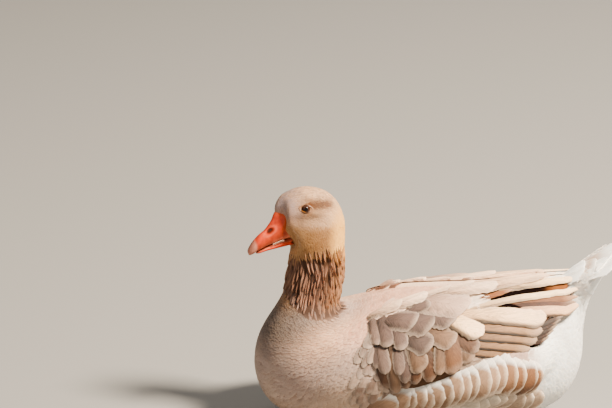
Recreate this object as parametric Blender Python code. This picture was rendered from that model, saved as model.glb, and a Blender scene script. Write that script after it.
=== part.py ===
# A buff goose, life size, resting on its belly with its feet tucked under.
# Metres. +Z is up, the bird looks along -X, and its left side is -Y.
# The origin is on the flat of the belly, half way between the bill's tip and the tail's tip.

import math
import random
from collections import namedtuple

import bmesh
import bpy
from mathutils import Vector

# Driving sizes.
GAP = 0.00035            # clearance between two smooth nodes that meet
FEATHER_GAP = 0.0010     # and where one of them carries vanes
WELD = 0.000003          # corners closer than this become one
EYE_RADIUS = 0.0066
HEAD_TURN = math.radians(9)     # the head looks a little to its left
TURN_AXIS_X = -0.165     # the upright axis that the head turns about
TURN_FROM_Z = 0.185      # the turn grows from here
TURN_TO_Z = 0.240        # and is complete from here up
BODY_SIDES = 26          # facets round the trunk
HEAD_SIDES = 24          # facets round the head and the neck

BUFF = (0.62, 0.47, 0.36)
PALE_BUFF = (0.74, 0.60, 0.48)
NECK_BROWN = (0.45, 0.29, 0.19)
WHITE = (0.86, 0.83, 0.78)
ORANGE = (0.80, 0.22, 0.06)
EYE_BROWN = (0.05, 0.03, 0.02)

# One station of the bird's outline: a point on its back line and one on its belly line,
# the half width between them, where down the section it is widest, how pointed the section is,
# and how far its sides lie behind the line between the two points.
Station = namedtuple("Station", "back_x back_z belly_x belly_z half_width widest power bow", defaults=(0.0,))

OUTLINE = [
    Station(-0.2258, 0.3065, -0.2100, 0.2590, 0.0165, 0.40, 0.78, 0.0125),  # face, round the bill
    Station(-0.2238, 0.3195, -0.2040, 0.2565, 0.0210, 0.48, 0.86, 0.0100),  # forehead
    Station(-0.2125, 0.3330, -0.2030, 0.2550, 0.0255, 0.56, 0.95, 0.0050),
    Station(-0.1865, 0.3410, -0.2025, 0.2535, 0.0295, 0.60, 0.95, 0.0020),  # crown
    Station(-0.1590, 0.3365, -0.2025, 0.2520, 0.0320, 0.60, 0.95),
    Station(-0.1400, 0.3220, -0.2028, 0.2503, 0.0335, 0.60, 0.95),  # occiput
    Station(-0.1290, 0.2995, -0.2033, 0.2480, 0.0340, 0.58, 0.95),  # nape
    Station(-0.1250, 0.2755, -0.2045, 0.2435, 0.0340, 0.55, 1.00),
    Station(-0.1243, 0.2505, -0.2065, 0.2325, 0.0345, 0.50, 1.00),  # throat
    Station(-0.1252, 0.2260, -0.2083, 0.2170, 0.0355, 0.50, 1.00),
    Station(-0.1280, 0.2030, -0.2112, 0.1995, 0.0380, 0.50, 1.00),  # middle of the neck
    Station(-0.1310, 0.1865, -0.2180, 0.1825, 0.0430, 0.50, 1.00),
    Station(-0.1330, 0.1740, -0.2290, 0.1620, 0.0530, 0.50, 1.00),  # foot of the neck
    Station(-0.1290, 0.1660, -0.2415, 0.1385, 0.0670, 0.50, 0.95),
    Station(-0.1170, 0.1660, -0.2520, 0.1110, 0.0830, 0.50, 0.92),  # shoulder
    Station(-0.1000, 0.1715, -0.2550, 0.0830, 0.0960, 0.50, 0.90),  # breast
    Station(-0.0800, 0.1780, -0.2490, 0.0550, 0.1060, 0.50, 0.90),
    Station(-0.0570, 0.1835, -0.2310, 0.0280, 0.1130, 0.50, 0.90),
    Station(-0.0300, 0.1875, -0.1950, 0.0070, 0.1175, 0.50, 0.90),  # keel
    Station(0.0000, 0.1895, -0.1400, -0.0045, 0.1190, 0.50, 0.90),
    Station(0.0300, 0.1895, -0.0700, -0.0050, 0.1190, 0.50, 0.90),  # belly
    Station(0.0600, 0.1880, 0.0000, -0.0050, 0.1160, 0.50, 0.90),
    Station(0.0900, 0.1845, 0.0600, -0.0050, 0.1080, 0.49, 0.92),
    Station(0.1160, 0.1820, 0.1080, -0.0010, 0.0970, 0.48, 0.98),  # hip
    Station(0.1360, 0.1820, 0.1480, 0.0110, 0.0830, 0.46, 1.05),
    Station(0.1500, 0.1850, 0.1820, 0.0300, 0.0710, 0.45, 1.10),  # vent
    Station(0.1590, 0.1900, 0.2020, 0.0600, 0.0600, 0.46, 1.10),
    Station(0.1670, 0.1960, 0.2110, 0.0950, 0.0500, 0.48, 1.05),
    Station(0.1740, 0.2020, 0.2120, 0.1300, 0.0410, 0.50, 1.00),
    Station(0.1800, 0.2080, 0.2160, 0.1620, 0.0330, 0.50, 1.00),  # root of the tail
]
BOW_POWER = 8            # how squarely the sides of the face step back
HEAD_END = 7.2           # station numbers where the nodes part
NECK_END = 12.3
TAIL_ROOT = len(OUTLINE) - 1.0


def clear_scene():
    for obj in list(bpy.data.objects):
        bpy.data.objects.remove(obj)


def material(name, colour, roughness=0.8):
    made = bpy.data.materials.new(name)
    made.use_nodes = True
    shader = made.node_tree.nodes["Principled BSDF"]
    shader.inputs["Base Color"].default_value = (*colour, 1.0)
    shader.inputs["Roughness"].default_value = roughness
    shader.inputs["Metallic"].default_value = 0.0
    return made


def smoothstep(value, low, high):
    share = min(1.0, max(0.0, (value - low) / (high - low)))
    return share * share * (3.0 - 2.0 * share)


def along(rows, t):
    """The row at station number t, on a smooth curve through the rows."""
    last = len(rows) - 1
    i = min(last - 1, max(0, int(math.floor(t))))
    u = t - i
    a = rows[max(0, i - 1)]
    b = rows[i]
    c = rows[i + 1]
    d = rows[min(last, i + 2)]
    weights = (
        -0.5 * u + u * u - 0.5 * u ** 3,
        1.0 - 2.5 * u * u + 1.5 * u ** 3,
        0.5 * u + 2.0 * u * u - 1.5 * u ** 3,
        -0.5 * u * u + 0.5 * u ** 3,
    )
    return type(b)(*(sum(w * v for w, v in zip(weights, vs)) for vs in zip(a, b, c, d)))


def section_point(station, angle):
    """A point on a section: angle 0 is on the back, and grows towards the bird's left side."""
    down = 0.5 * (1.0 - math.cos(angle))
    down += 4.0 * (station.widest - 0.5) * down * (1.0 - down)
    side = math.sin(angle)
    out = math.copysign(abs(side) ** station.power, side) * station.half_width
    behind = station.bow * (1.0 - math.cos(angle) ** BOW_POWER)
    x = station.back_x + (station.belly_x - station.back_x) * down + behind
    z = station.back_z + (station.belly_z - station.back_z) * down
    return Vector((x, -out, max(0.0, z)))


def turned(point):
    """The point after the head's turn about the neck's upright axis."""
    angle = HEAD_TURN * smoothstep(point.z, TURN_FROM_Z, TURN_TO_Z)
    x = point.x - TURN_AXIS_X
    c = math.cos(angle)
    s = math.sin(angle)
    return Vector((TURN_AXIS_X + x * c - point.y * s, x * s + point.y * c, point.z))


def skin_point(t, angle):
    return section_point(along(OUTLINE, t), angle)


def skin_normal(t, angle):
    step = 0.02
    by_t = skin_point(min(t + step, TAIL_ROOT), angle) - skin_point(t - step, angle)
    by_angle = skin_point(t, angle + step) - skin_point(t, angle - step)
    normal = by_angle.cross(by_t)
    if normal.length < 1e-12:
        return Vector((0.0, 0.0, 1.0))
    return normal.normalized()


def ring_mesh(rings):
    """A closed bmesh through rings of equal count, each end capped with one flat face."""
    mesh = bmesh.new()
    loops = [[mesh.verts.new(p) for p in ring] for ring in rings]
    count = len(loops[0])
    for first, second in zip(loops, loops[1:]):
        for i in range(count):
            j = (i + 1) % count
            mesh.faces.new((first[i], first[j], second[j], second[i]))
    mesh.faces.new(list(reversed(loops[0])))
    mesh.faces.new(loops[-1])
    bmesh.ops.recalc_face_normals(mesh, faces=mesh.faces)
    return mesh


def spindle_mesh(sections, tip):
    """A closed bmesh through small sections of equal count, ending in a point: one vane or lock."""
    mesh = bmesh.new()
    loops = [[mesh.verts.new(p) for p in section] for section in sections]
    end = mesh.verts.new(tip)
    count = len(loops[0])
    for i in range(count):
        j = (i + 1) % count
        for first, second in zip(loops, loops[1:]):
            mesh.faces.new((first[i], first[j], second[j], second[i]))
        mesh.faces.new((loops[-1][i], loops[-1][j], end))
    mesh.faces.new(list(reversed(loops[0])))
    bmesh.ops.recalc_face_normals(mesh, faces=mesh.faces)
    return mesh


def new_object(name, mesh, finish):
    data = bpy.data.meshes.new(name)
    bmesh.ops.triangulate(mesh, faces=mesh.faces)
    mesh.to_mesh(data)
    mesh.free()
    data.materials.append(finish)
    data.shade_smooth()
    data.set_sharp_from_angle(angle=math.radians(45))
    obj = bpy.data.objects.new(name, data)
    bpy.context.scene.collection.objects.link(obj)
    return obj


def helper(name, mesh, finish):
    """A piece that a Boolean takes, left out of the render."""
    obj = new_object(name, mesh, finish)
    obj.hide_render = True
    obj.display_type = "WIRE"
    return obj


def evaluated_mesh(obj):
    bpy.context.view_layer.update()
    graph = bpy.context.evaluated_depsgraph_get()
    return bpy.data.meshes.new_from_object(obj.evaluated_get(graph))


def keep_largest(data):
    """Drops all of a mesh but its largest closed surface, and loose crumbs."""
    mesh = bmesh.new()
    mesh.from_mesh(data)
    bmesh.ops.remove_doubles(mesh, verts=mesh.verts, dist=WELD)
    bmesh.ops.triangulate(mesh, faces=mesh.faces)
    left = set(mesh.faces)
    islands = []
    while left:
        stack = [left.pop()]
        island = list(stack)
        while stack:
            face = stack.pop()
            for edge in face.edges:
                if len(edge.link_faces) != 2:
                    continue
                for other in edge.link_faces:
                    if other in left:
                        left.remove(other)
                        island.append(other)
                        stack.append(other)
        islands.append(island)
    largest = max(islands, key=lambda island: (sum(f.calc_area() for f in island), len(island)))
    drop = [f for island in islands if island is not largest for f in island]
    bmesh.ops.delete(mesh, geom=drop, context="FACES")
    mesh.to_mesh(data)
    mesh.free()


def boolean(obj, others, operation, solver="MANIFOLD"):
    """Joins or cuts obj by the other objects in one step."""
    group = bpy.data.collections.new(obj.name + "_" + operation.lower())
    for other in others:
        group.objects.link(other)
    modifier = obj.modifiers.new(operation.title(), "BOOLEAN")
    modifier.operand_type = "COLLECTION"
    modifier.collection = group
    modifier.operation = operation
    modifier.solver = solver
    data = evaluated_mesh(obj)
    obj.modifiers.clear()
    obj.data = data
    keep_largest(obj.data)
    bpy.data.collections.remove(group)


def remove(objects):
    for obj in objects:
        bpy.data.objects.remove(obj)


def swollen(obj, by, finish):
    """A helper with obj's surface moved out along its normals."""
    mesh = bmesh.new()
    mesh.from_mesh(obj.data)
    mesh.normal_update()
    shifts = []
    for vertex in mesh.verts:
        faces = vertex.link_faces
        normal = vertex.normal
        least = min((normal.dot(f.normal) for f in faces), default=1.0)
        shifts.append(normal * (by / max(0.4, least)))
    for vertex, shift in zip(mesh.verts, shifts):
        vertex.co += shift
    return helper(obj.name + "_swollen", mesh, finish)


def trunk_rings(stations, sides, turn):
    rings = []
    for t in stations:
        ring = [skin_point(t, 2.0 * math.pi * i / sides) for i in range(sides)]
        rings.append([turned(p) if turn else p for p in ring])
    return rings


def spread(start, end, count):
    return [start + (end - start) * i / (count - 1) for i in range(count)]


# A vane is one flat tapered feather: a row of flat diamonds, its root sunk in the surface it follows.
VANE_SECTIONS = (        # share of the length, share of the half width, rise over the surface
    (0.00, 0.60, -0.0034),
    (0.55, 1.00, -0.0004),
    (0.90, 0.84, 0.0011),
)
LOCK_SECTIONS = (        # the same for the neck's narrower, more pointed locks
    (0.00, 0.60, -0.0034),
    (0.50, 1.00, -0.0006),
    (0.86, 0.60, 0.0009),
)
VANE_TIP_RISE = 0.0008
VANE_CAMBER = 0.0009     # how far the shaft stands over the vane's edges
VANE_TILT = 0.0005       # a vane's upper edge lies under its neighbour's
VANE_DEPTH = 0.0022      # from the edges down to the vane's keel


def surface_frame(surface, u, v, flip):
    """The steps along u and v and the outward normal of a surface that u and v give."""
    step = 0.002
    by_u = (surface(u + step, v) - surface(u - step, v)) / (2.0 * step)
    by_v = (surface(u, v + step) - surface(u, v - step)) / (2.0 * step)
    return by_u, by_v, by_u.cross(by_v).normalized() * flip


def vane_mesh(
    surface, flip, u, v, length, half_width, drop=0.0, lift=0.0, camber=VANE_CAMBER, shape=VANE_SECTIONS,
):
    """A vane whose tip is at u and v. It points along u, turned by drop towards v."""
    by_u, by_v, _ = surface_frame(surface, u, v, flip)
    middle_u = u - 0.5 * length * math.cos(drop) / by_u.length
    middle_v = v - 0.5 * length * math.sin(drop) / by_v.length
    by_u, by_v, _ = surface_frame(surface, middle_u, middle_v, flip)
    ahead = (math.cos(drop) / by_u.length, math.sin(drop) / by_v.length)
    across = (-math.sin(drop) / by_u.length, math.cos(drop) / by_v.length)

    def place(share, offset, rise):
        back = (share - 1.0) * length
        pu = u + ahead[0] * back + across[0] * offset
        pv = v + ahead[1] * back + across[1] * offset
        return surface(pu, pv) + surface_frame(surface, pu, pv, flip)[2] * (rise + lift)

    sections = []
    for share, width, rise in shape:
        w = half_width * width
        keel = VANE_DEPTH * (1.0 - 0.6 * share)
        sections.append((
            place(share, -w, rise - VANE_TILT),
            place(share, 0.0, rise + camber),
            place(share, w, rise + VANE_TILT),
            place(share, 0.0, rise - keel),
        ))
    return spindle_mesh(sections, place(1.0, 0.0, VANE_TIP_RISE))


def unevenness(seed):
    """A maker of small random changes, the same on every build, so that no two vanes lie in one plane."""
    source = random.Random(seed)

    def around(middle, spread_by):
        return middle + spread_by * (2.0 * source.random() - 1.0)

    return around


# Head, with lids and eyes.
EYE_X = -0.1848
EYE_Z = 0.3155
EYE_SINK = 0.0036        # from the skin in to the eyeball's centre
LID_TUBE = 0.0015
HEAD_RINGS = 13


def skin_at(x, z, side):
    """The skin's point and normal at the side of the head, at this x and z."""
    best = None
    for i in range(9, 76):
        t = i * 0.1
        for j in range(4, 60):
            angle = math.pi * j / 60
            p = skin_point(t, angle)
            miss = (p.x - x) ** 2 + (p.z - z) ** 2
            if best is None or miss < best[0]:
                best = (miss, t, angle)
    _, t, angle = best
    p = skin_point(t, angle)
    n = skin_normal(t, angle)
    return Vector((p.x, side * abs(p.y), p.z)), Vector((n.x, side * abs(n.y), n.z))


def ball_mesh(centre, radius, segments=12, rings=8):
    mesh = bmesh.new()
    bmesh.ops.create_uvsphere(mesh, u_segments=segments, v_segments=rings, radius=radius)
    bmesh.ops.translate(mesh, verts=mesh.verts, vec=centre)
    return mesh


def torus_mesh(centre, axis, radius, tube, around=14, sides=5):
    rotation = axis.to_track_quat("Z", "Y")
    mesh = bmesh.new()
    loops = []
    for i in range(around):
        a = 2.0 * math.pi * i / around
        loop = []
        for j in range(sides):
            b = 2.0 * math.pi * j / sides
            reach = radius + tube * math.cos(b)
            local = Vector((reach * math.cos(a), reach * math.sin(a), tube * math.sin(b)))
            loop.append(mesh.verts.new(centre + rotation @ local))
        loops.append(loop)
    for i in range(around):
        for j in range(sides):
            k = (j + 1) % sides
            a = loops[i]
            b = loops[(i + 1) % around]
            mesh.faces.new((a[j], b[j], b[k], a[k]))
    bmesh.ops.recalc_face_normals(mesh, faces=mesh.faces)
    return mesh


def make_head(finishes):
    rings = trunk_rings(spread(0.0, HEAD_END, HEAD_RINGS), HEAD_SIDES, True)
    head = new_object("head", ring_mesh(rings), finishes["buff"])
    lids = []
    sockets = []
    for side, name in ((-1, "eye_left"), (1, "eye_right")):
        surface, normal = skin_at(EYE_X, EYE_Z, side)
        outward = Vector((normal.x * 0.5, normal.y, normal.z * 0.5)).normalized()
        centre = turned(surface - outward * EYE_SINK)
        axis = turned(surface) - centre
        new_object(name, ball_mesh(centre, EYE_RADIUS), finishes["eye"])
        rim = centre + axis.normalized() * (EYE_SINK + 0.0002)
        lids.append(helper(name + "_lid", torus_mesh(rim, axis, EYE_RADIUS, LID_TUBE), finishes["buff"]))
        sockets.append(helper(name + "_socket", ball_mesh(centre, EYE_RADIUS + GAP), finishes["buff"]))
    boolean(head, lids, "UNION")
    boolean(head, sockets, "DIFFERENCE")
    remove(lids + sockets)
    return head


# Neck: a column in furrows, made by rows of narrow locks that overlap downwards.
NECK_RINGS = 7
NECK_SIDES = 16
LOCK_ROWS = (8.90, 9.85, 10.80, 11.80)     # station numbers of the locks' tips
LOCK_SPAN = 1.42         # how many stations long a lock is
LOCKS_ROUND = 14
LOCK_HALF_WIDTH = 0.0066
LOCK_CAMBER = 0.0022
LOCK_SLANT = math.radians(9)


def make_neck(finishes):
    start = HEAD_END + 0.035
    rings = trunk_rings(spread(start, NECK_END, NECK_RINGS), NECK_SIDES, True)
    neck = new_object("neck", ring_mesh(rings), finishes["neck"])

    def surface(t, angle):
        return turned(skin_point(t, angle))

    around = unevenness(11)
    locks = []
    for row, t in enumerate(LOCK_ROWS):
        for i in range(LOCKS_ROUND):
            angle = 2.0 * math.pi * (i + 0.5 * (row % 2)) / LOCKS_ROUND
            slant = around(-LOCK_SLANT * math.sin(angle) * row, 0.04)
            length = (surface(t, angle) - surface(t - LOCK_SPAN, angle)).length
            mesh = vane_mesh(
                surface, -1.0, around(t, 0.12), angle, length, LOCK_HALF_WIDTH, slant,
                around(0.0004, 0.0004), LOCK_CAMBER, LOCK_SECTIONS,
            )
            locks.append(helper("lock", mesh, finishes["neck"]))
    boolean(neck, locks, "UNION")
    remove(locks)
    return neck


TORSO_RINGS = 24


def make_torso(finishes):
    start = NECK_END + 0.05
    rings = trunk_rings(spread(start, TAIL_ROOT, TORSO_RINGS), BODY_SIDES, False)
    return new_object("torso", ring_mesh(rings), finishes["pale"])


# Bill. Each row is one section: its top line, its edge line, its half width and its bow.
BillRow = namedtuple("BillRow", "top_x top_z edge_x edge_z half_width bow")
UPPER_BILL = [
    BillRow(-0.2308, 0.2925, -0.2150, 0.2680, 0.0152, 0.0070),
    BillRow(-0.2392, 0.2810, -0.2260, 0.2635, 0.0140, 0.0020),
    BillRow(-0.2483, 0.2727, -0.2385, 0.2585, 0.0128, 0.0),
    BillRow(-0.2562, 0.2637, -0.2490, 0.2528, 0.0115, 0.0),
    BillRow(-0.2618, 0.2550, -0.2560, 0.2480, 0.0088, 0.0),
    BillRow(-0.2628, 0.2495, -0.2600, 0.2452, 0.0050, 0.0),
]
LOWER_BILL = [
    BillRow(-0.2160, 0.2665, -0.2150, 0.2565, 0.0128, 0.0040),
    BillRow(-0.2265, 0.2622, -0.2255, 0.2540, 0.0120, 0.0010),
    BillRow(-0.2385, 0.2572, -0.2380, 0.2512, 0.0106, 0.0),
    BillRow(-0.2485, 0.2522, -0.2480, 0.2482, 0.0080, 0.0),
]
BILL_SIDES = 14
UPPER_SHARE = 0.79       # of the face's height that the upper bill takes
MOUTH_GAP = 0.0012
BILL_SINK = 0.0025       # how far the bill starts inside the face, before the face is cut out of it
NOSTRIL_X = -0.2334
NOSTRIL_Z = 0.2800
NOSTRIL_OUT = 0.0108     # from the bill's middle plane
NOSTRIL_RADII = (0.0042, 0.0040, 0.0016)


def bill_ring(row, full_low):
    """A section of the bill, domed above and flatter at its edge."""
    station = Station(row.top_x, row.top_z, row.edge_x, row.edge_z, row.half_width, full_low, 0.85, row.bow)
    ring = [section_point(station, 2.0 * math.pi * i / BILL_SIDES) for i in range(BILL_SIDES)]
    return [turned(p) for p in ring]


def face_row(start, end, half_width):
    """The bill's first section, a little way inside the face."""
    face = OUTLINE[0]
    top = Vector((face.back_x, 0.0, face.back_z))
    chin = Vector((face.belly_x, 0.0, face.belly_z))
    ahead = Vector((chin.z - top.z, 0.0, top.x - chin.x)).normalized() * BILL_SINK
    a = top.lerp(chin, start) - ahead
    b = top.lerp(chin, end) - ahead
    return BillRow(a.x, a.z, b.x, b.z, half_width, face.bow)


def make_bill(head, finishes):
    wide_head = swollen(head, GAP, finishes["bill"])
    height = OUTLINE[0].back_z - OUTLINE[0].belly_z
    upper = [face_row(0.01, UPPER_SHARE, 0.0158), *UPPER_BILL]
    lower = [face_row(UPPER_SHARE + MOUTH_GAP / height, 0.99, 0.0125), *LOWER_BILL]
    bill = new_object("bill_upper", ring_mesh([bill_ring(r, 0.66) for r in upper]), finishes["bill"])
    nostrils = []
    for side in (-1, 1):
        mesh = ball_mesh(Vector((0.0, 0.0, 0.0)), 1.0, 10, 6)
        bmesh.ops.scale(mesh, verts=mesh.verts, vec=NOSTRIL_RADII)
        bmesh.ops.rotate(mesh, verts=mesh.verts, matrix=Vector((-1, 0, -1)).to_track_quat("-X", "Z").to_matrix())
        place = turned(Vector((NOSTRIL_X, side * NOSTRIL_OUT, NOSTRIL_Z)))
        bmesh.ops.translate(mesh, verts=mesh.verts, vec=place)
        nostrils.append(helper("nostril", mesh, finishes["bill"]))
    boolean(bill, [*nostrils, wide_head], "DIFFERENCE")
    remove(nostrils)
    jaw = new_object("bill_lower", ring_mesh([bill_ring(r, 0.45) for r in lower]), finishes["bill"])
    wide_bill = swollen(bill, GAP, finishes["bill"])
    boolean(jaw, [wide_bill, wide_head], "DIFFERENCE")
    remove([wide_bill, wide_head])


# Folded wings: a smooth hull that they fill, given by upright sections along the body.
Hull = namedtuple("Hull", "x half_width middle_z half_height low_z inner_y depth")
HULL = [
    Hull(-0.120, 0.0880, 0.110, 0.0630, 0.114, 0.066, 0.010),
    Hull(-0.090, 0.1140, 0.109, 0.0735, 0.086, 0.056, 0.022),
    Hull(-0.050, 0.1280, 0.109, 0.0815, 0.080, 0.038, 0.026),
    Hull(0.000, 0.1310, 0.111, 0.0855, 0.096, 0.020, 0.026),
    Hull(0.050, 0.1250, 0.115, 0.0870, 0.116, 0.004, 0.026),
    Hull(0.100, 0.1100, 0.121, 0.0865, 0.128, 0.0015, 0.024),
    Hull(0.145, 0.0880, 0.130, 0.0815, 0.136, 0.0020, 0.016),
    Hull(0.180, 0.0640, 0.142, 0.0715, 0.158, 0.0030, 0.009),
    Hull(0.205, 0.0420, 0.156, 0.0600, 0.182, 0.0040, 0.006),
]
HULL_POWER = 0.92


def hull_row(x):
    """The hull's section at this x, carried on past either end."""
    i = 0
    while i < len(HULL) - 2 and x > HULL[i + 1].x:
        i += 1
    share = (x - HULL[i].x) / (HULL[i + 1].x - HULL[i].x)
    return along(HULL, min(len(HULL) - 0.7, max(-0.3, i + share)))


def hull_point(x, v, side, inset=0.0):
    """A point on the folded wing: v runs from 0, next to the back's middle, to 1, its lower edge."""
    row = hull_row(x)
    width = row.half_width - inset
    height = row.half_height - inset
    first = math.asin(min(1.0, (row.inner_y / row.half_width) ** (1.0 / HULL_POWER)))
    last = math.acos(max(-1.0, min(1.0, (row.low_z - row.middle_z) / row.half_height)))
    angle = min(3.0, first + (last - first) * max(0.012, v))
    y = width * math.sin(angle) ** HULL_POWER
    return Vector((x, side * max(y, row.inner_y), row.middle_z + height * math.cos(angle)))


WING_STATIONS = 11
WING_COLUMNS = 9
CORE_END_X = 0.170       # behind this the vanes stand free
CORE_INSET = 0.0016      # the pad lies this far under the vanes' general surface


def wing_core(side):
    """The closed pad that the vanes stand on and that reaches a little into the trunk."""
    mesh = bmesh.new()
    outer = []
    inner = []
    for x in spread(HULL[0].x, CORE_END_X, WING_STATIONS):
        depth = hull_row(x).depth
        values = spread(0.0, 1.0, WING_COLUMNS)
        outer.append([mesh.verts.new(hull_point(x, v, side, CORE_INSET)) for v in values])
        inner.append([mesh.verts.new(hull_point(x, v, side, depth)) for v in values])
    rings = [o + list(reversed(i)) for o, i in zip(outer, inner)]
    count = len(rings[0])
    for first, second in zip(rings, rings[1:]):
        for i in range(count):
            j = (i + 1) % count
            mesh.faces.new((first[i], first[j], second[j], second[i]))
    for outs, ins in ((outer[0], inner[0]), (outer[-1], inner[-1])):
        for i in range(WING_COLUMNS - 1):
            mesh.faces.new((outs[i], outs[i + 1], ins[i + 1], ins[i]))
    bmesh.ops.recalc_face_normals(mesh, faces=mesh.faces)
    return mesh


# One tier of vanes on the folded wing, from its uppermost vane to its lowest. Tips lie at x and v on
# the hull. Drop is how far the vane points down from straight back, in degrees.
Tier = namedtuple("Tier", "count x_top x_low v_top v_low length_top length_low half_width drop_top drop_low")
TIERS = [
    Tier(5, 0.188, 0.172, 0.50, 0.86, 0.085, 0.075, 0.0085, -6, -8),      # primaries' tips
    Tier(5, 0.152, 0.132, 0.52, 0.93, 0.100, 0.085, 0.0092, 7, 3),        # secondaries
    Tier(4, 0.196, 0.176, 0.12, 0.42, 0.120, 0.110, 0.0105, 3, 5),        # tertials
    Tier(3, 0.112, 0.092, 0.09, 0.34, 0.080, 0.080, 0.0150, 4, 8),        # long scapulars
    Tier(5, 0.064, 0.034, 0.36, 0.86, 0.058, 0.050, 0.0125, 14, 34),      # greater coverts
    Tier(3, 0.046, 0.030, 0.08, 0.30, 0.068, 0.062, 0.0160, 6, 14),       # scapulars
    Tier(5, 0.022, 0.006, 0.30, 0.92, 0.052, 0.046, 0.0130, 18, 46),      # median coverts
    Tier(6, -0.008, -0.024, 0.10, 0.93, 0.048, 0.042, 0.0125, 16, 58),
    Tier(6, -0.038, -0.048, 0.12, 0.96, 0.044, 0.038, 0.0115, 22, 68),    # lesser coverts
    Tier(6, -0.064, -0.072, 0.14, 0.92, 0.038, 0.034, 0.0110, 30, 74),
]


def wing_vanes(side, finish):
    def surface(x, v):
        return hull_point(x, v, side)

    around = unevenness(4)
    made = []
    for tier in TIERS:
        for i in range(tier.count):
            s = i / (tier.count - 1)
            mesh = vane_mesh(
                surface,
                side,
                around(tier.x_top + (tier.x_low - tier.x_top) * s, 0.0012),
                around(tier.v_top + (tier.v_low - tier.v_top) * s, 0.008),
                tier.length_top + (tier.length_low - tier.length_top) * s,
                tier.half_width,
                math.radians(around(tier.drop_top + (tier.drop_low - tier.drop_top) * s, 2.0)),
                around(0.0004, 0.0004),
            )
            made.append(helper("vane", mesh, finish))
    return made


def make_wing(side, name, cutters, finishes):
    wing = new_object(name, wing_core(side), finishes["buff"])
    vanes = wing_vanes(side, finishes["buff"])
    boolean(wing, vanes, "UNION")
    remove(vanes)
    boolean(wing, cutters, "DIFFERENCE")
    return wing


# Flank: the long pad of feathers that the folded wing's lower edge lies behind.
FLANK_CENTRE = (0.048, 0.092, 0.090)
FLANK_RADII = (0.118, 0.034, 0.043)
FLANK_RISE = math.radians(14)
FLANK_TAPER = 1.9        # how fast the pad draws in to the rear, as the trunk does
FLANK_RINGS = 12
FLANK_SIDES = 18
FlankRow = namedtuple("FlankRow", "count u_top u_low v_top v_low half_width drop")
FLANK_ROWS = [
    FlankRow(3, 0.93, 0.84, -0.35, 0.45, 0.0140, 8),
    FlankRow(3, 0.62, 0.52, -0.60, 0.60, 0.0150, 12),
    FlankRow(3, 0.24, 0.16, -0.65, 0.60, 0.0150, 16),
    FlankRow(3, -0.14, -0.22, -0.60, 0.55, 0.0140, 20),
]
FLANK_VANE_LENGTH = 0.055


def flank_point(u, v, side):
    """A point on the pad: u from -1 at the front to 1 behind, v the angle down from its outermost line."""
    girth = max(0.0, 1.0 - abs(u) ** 2.6) ** 0.5
    x = u * FLANK_RADII[0]
    y = girth * math.cos(v) * FLANK_RADII[1]
    z = -girth * math.sin(v) * FLANK_RADII[2]
    inwards = FLANK_TAPER * x * x if x > 0 else 0.6 * x * x
    return Vector((
        FLANK_CENTRE[0] + x * math.cos(FLANK_RISE) - z * math.sin(FLANK_RISE),
        side * (FLANK_CENTRE[1] + y - inwards),
        FLANK_CENTRE[2] + x * math.sin(FLANK_RISE) + z * math.cos(FLANK_RISE),
    ))


def make_flank(side, name, cutters, finishes):
    def surface(u, v):
        return flank_point(max(-0.985, min(0.985, u)), v, side)

    rings = []
    for i in range(FLANK_RINGS):
        u = -math.cos(math.pi * (i + 0.5) / FLANK_RINGS)
        rings.append([surface(u, 2.0 * math.pi * j / FLANK_SIDES) for j in range(FLANK_SIDES)])
    flank = new_object(name, ring_mesh(rings), finishes["pale"])
    around = unevenness(3)
    vanes = []
    for vanes_of in FLANK_ROWS:
        for i in range(vanes_of.count):
            s = i / (vanes_of.count - 1)
            u = around(vanes_of.u_top + (vanes_of.u_low - vanes_of.u_top) * s, 0.01)
            v = around(vanes_of.v_top + (vanes_of.v_low - vanes_of.v_top) * s, 0.03)
            mesh = vane_mesh(
                surface, side, u, v, FLANK_VANE_LENGTH, vanes_of.half_width,
                math.radians(around(vanes_of.drop, 2.0)), around(0.0004, 0.0004),
            )
            vanes.append(helper("vane", mesh, finishes["pale"]))
    boolean(flank, vanes, "UNION")
    remove(vanes)
    boolean(flank, cutters, "DIFFERENCE")
    return flank


# Tail: a soft wedge of coverts with a roof-like fan of stiff feathers on it.
TAIL_OUTLINE = [
    Station(0.1960, 0.2190, 0.2230, 0.1860, 0.0380, 0.44, 1.00),
    Station(0.2120, 0.2290, 0.2320, 0.2080, 0.0400, 0.42, 1.00),
    Station(0.2280, 0.2380, 0.2420, 0.2250, 0.0380, 0.40, 1.00),
    Station(0.2420, 0.2440, 0.2490, 0.2370, 0.0270, 0.40, 1.00),
]
FAN_PAIRS = 7
FAN_ROOT = Vector((0.1840, 0.0190, 0.2105))
FAN_TIP = Vector((0.2625, 0.0470, 0.2550))
FAN_ROUND = 0.0130       # how far the outermost tip lies behind the middle ones
FAN_ROOF = 0.0170        # and how far below them
FAN_HALF_WIDTH = 0.0092
COVERT_HALF_WIDTH = 0.0100
COVERT_LENGTH = 0.033
CovertRow = namedtuple("CovertRow", "tips count spread lift")
UPPER_COVERTS = (
    CovertRow(0.58, 4, 1.5, 0.0038),
    CovertRow(0.40, 3, 1.5, 0.0046),
)
UNDER_COVERTS = (
    CovertRow(0.90, 3, 1.7, 0.0004),
    CovertRow(0.60, 4, 1.7, 0.0008),
)


def fan_point(a, b):
    """A point on the fan: a from 0 at the root to 1 at the tips, b from -1 on the left to 1."""
    root = Vector((FAN_ROOT.x, FAN_ROOT.y * b, FAN_ROOT.z - 0.4 * FAN_ROOF * b * b))
    tip = Vector((FAN_TIP.x - FAN_ROUND * b * b, FAN_TIP.y * b, FAN_TIP.z - FAN_ROOF * b * b))
    return root.lerp(tip, a)


def undertail_point(a, b):
    """A point on the wedge's underside, from its root to its end and from left to right."""
    station = along(TAIL_OUTLINE, a * (len(TAIL_OUTLINE) - 1))
    return section_point(station, math.pi - b)


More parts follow.
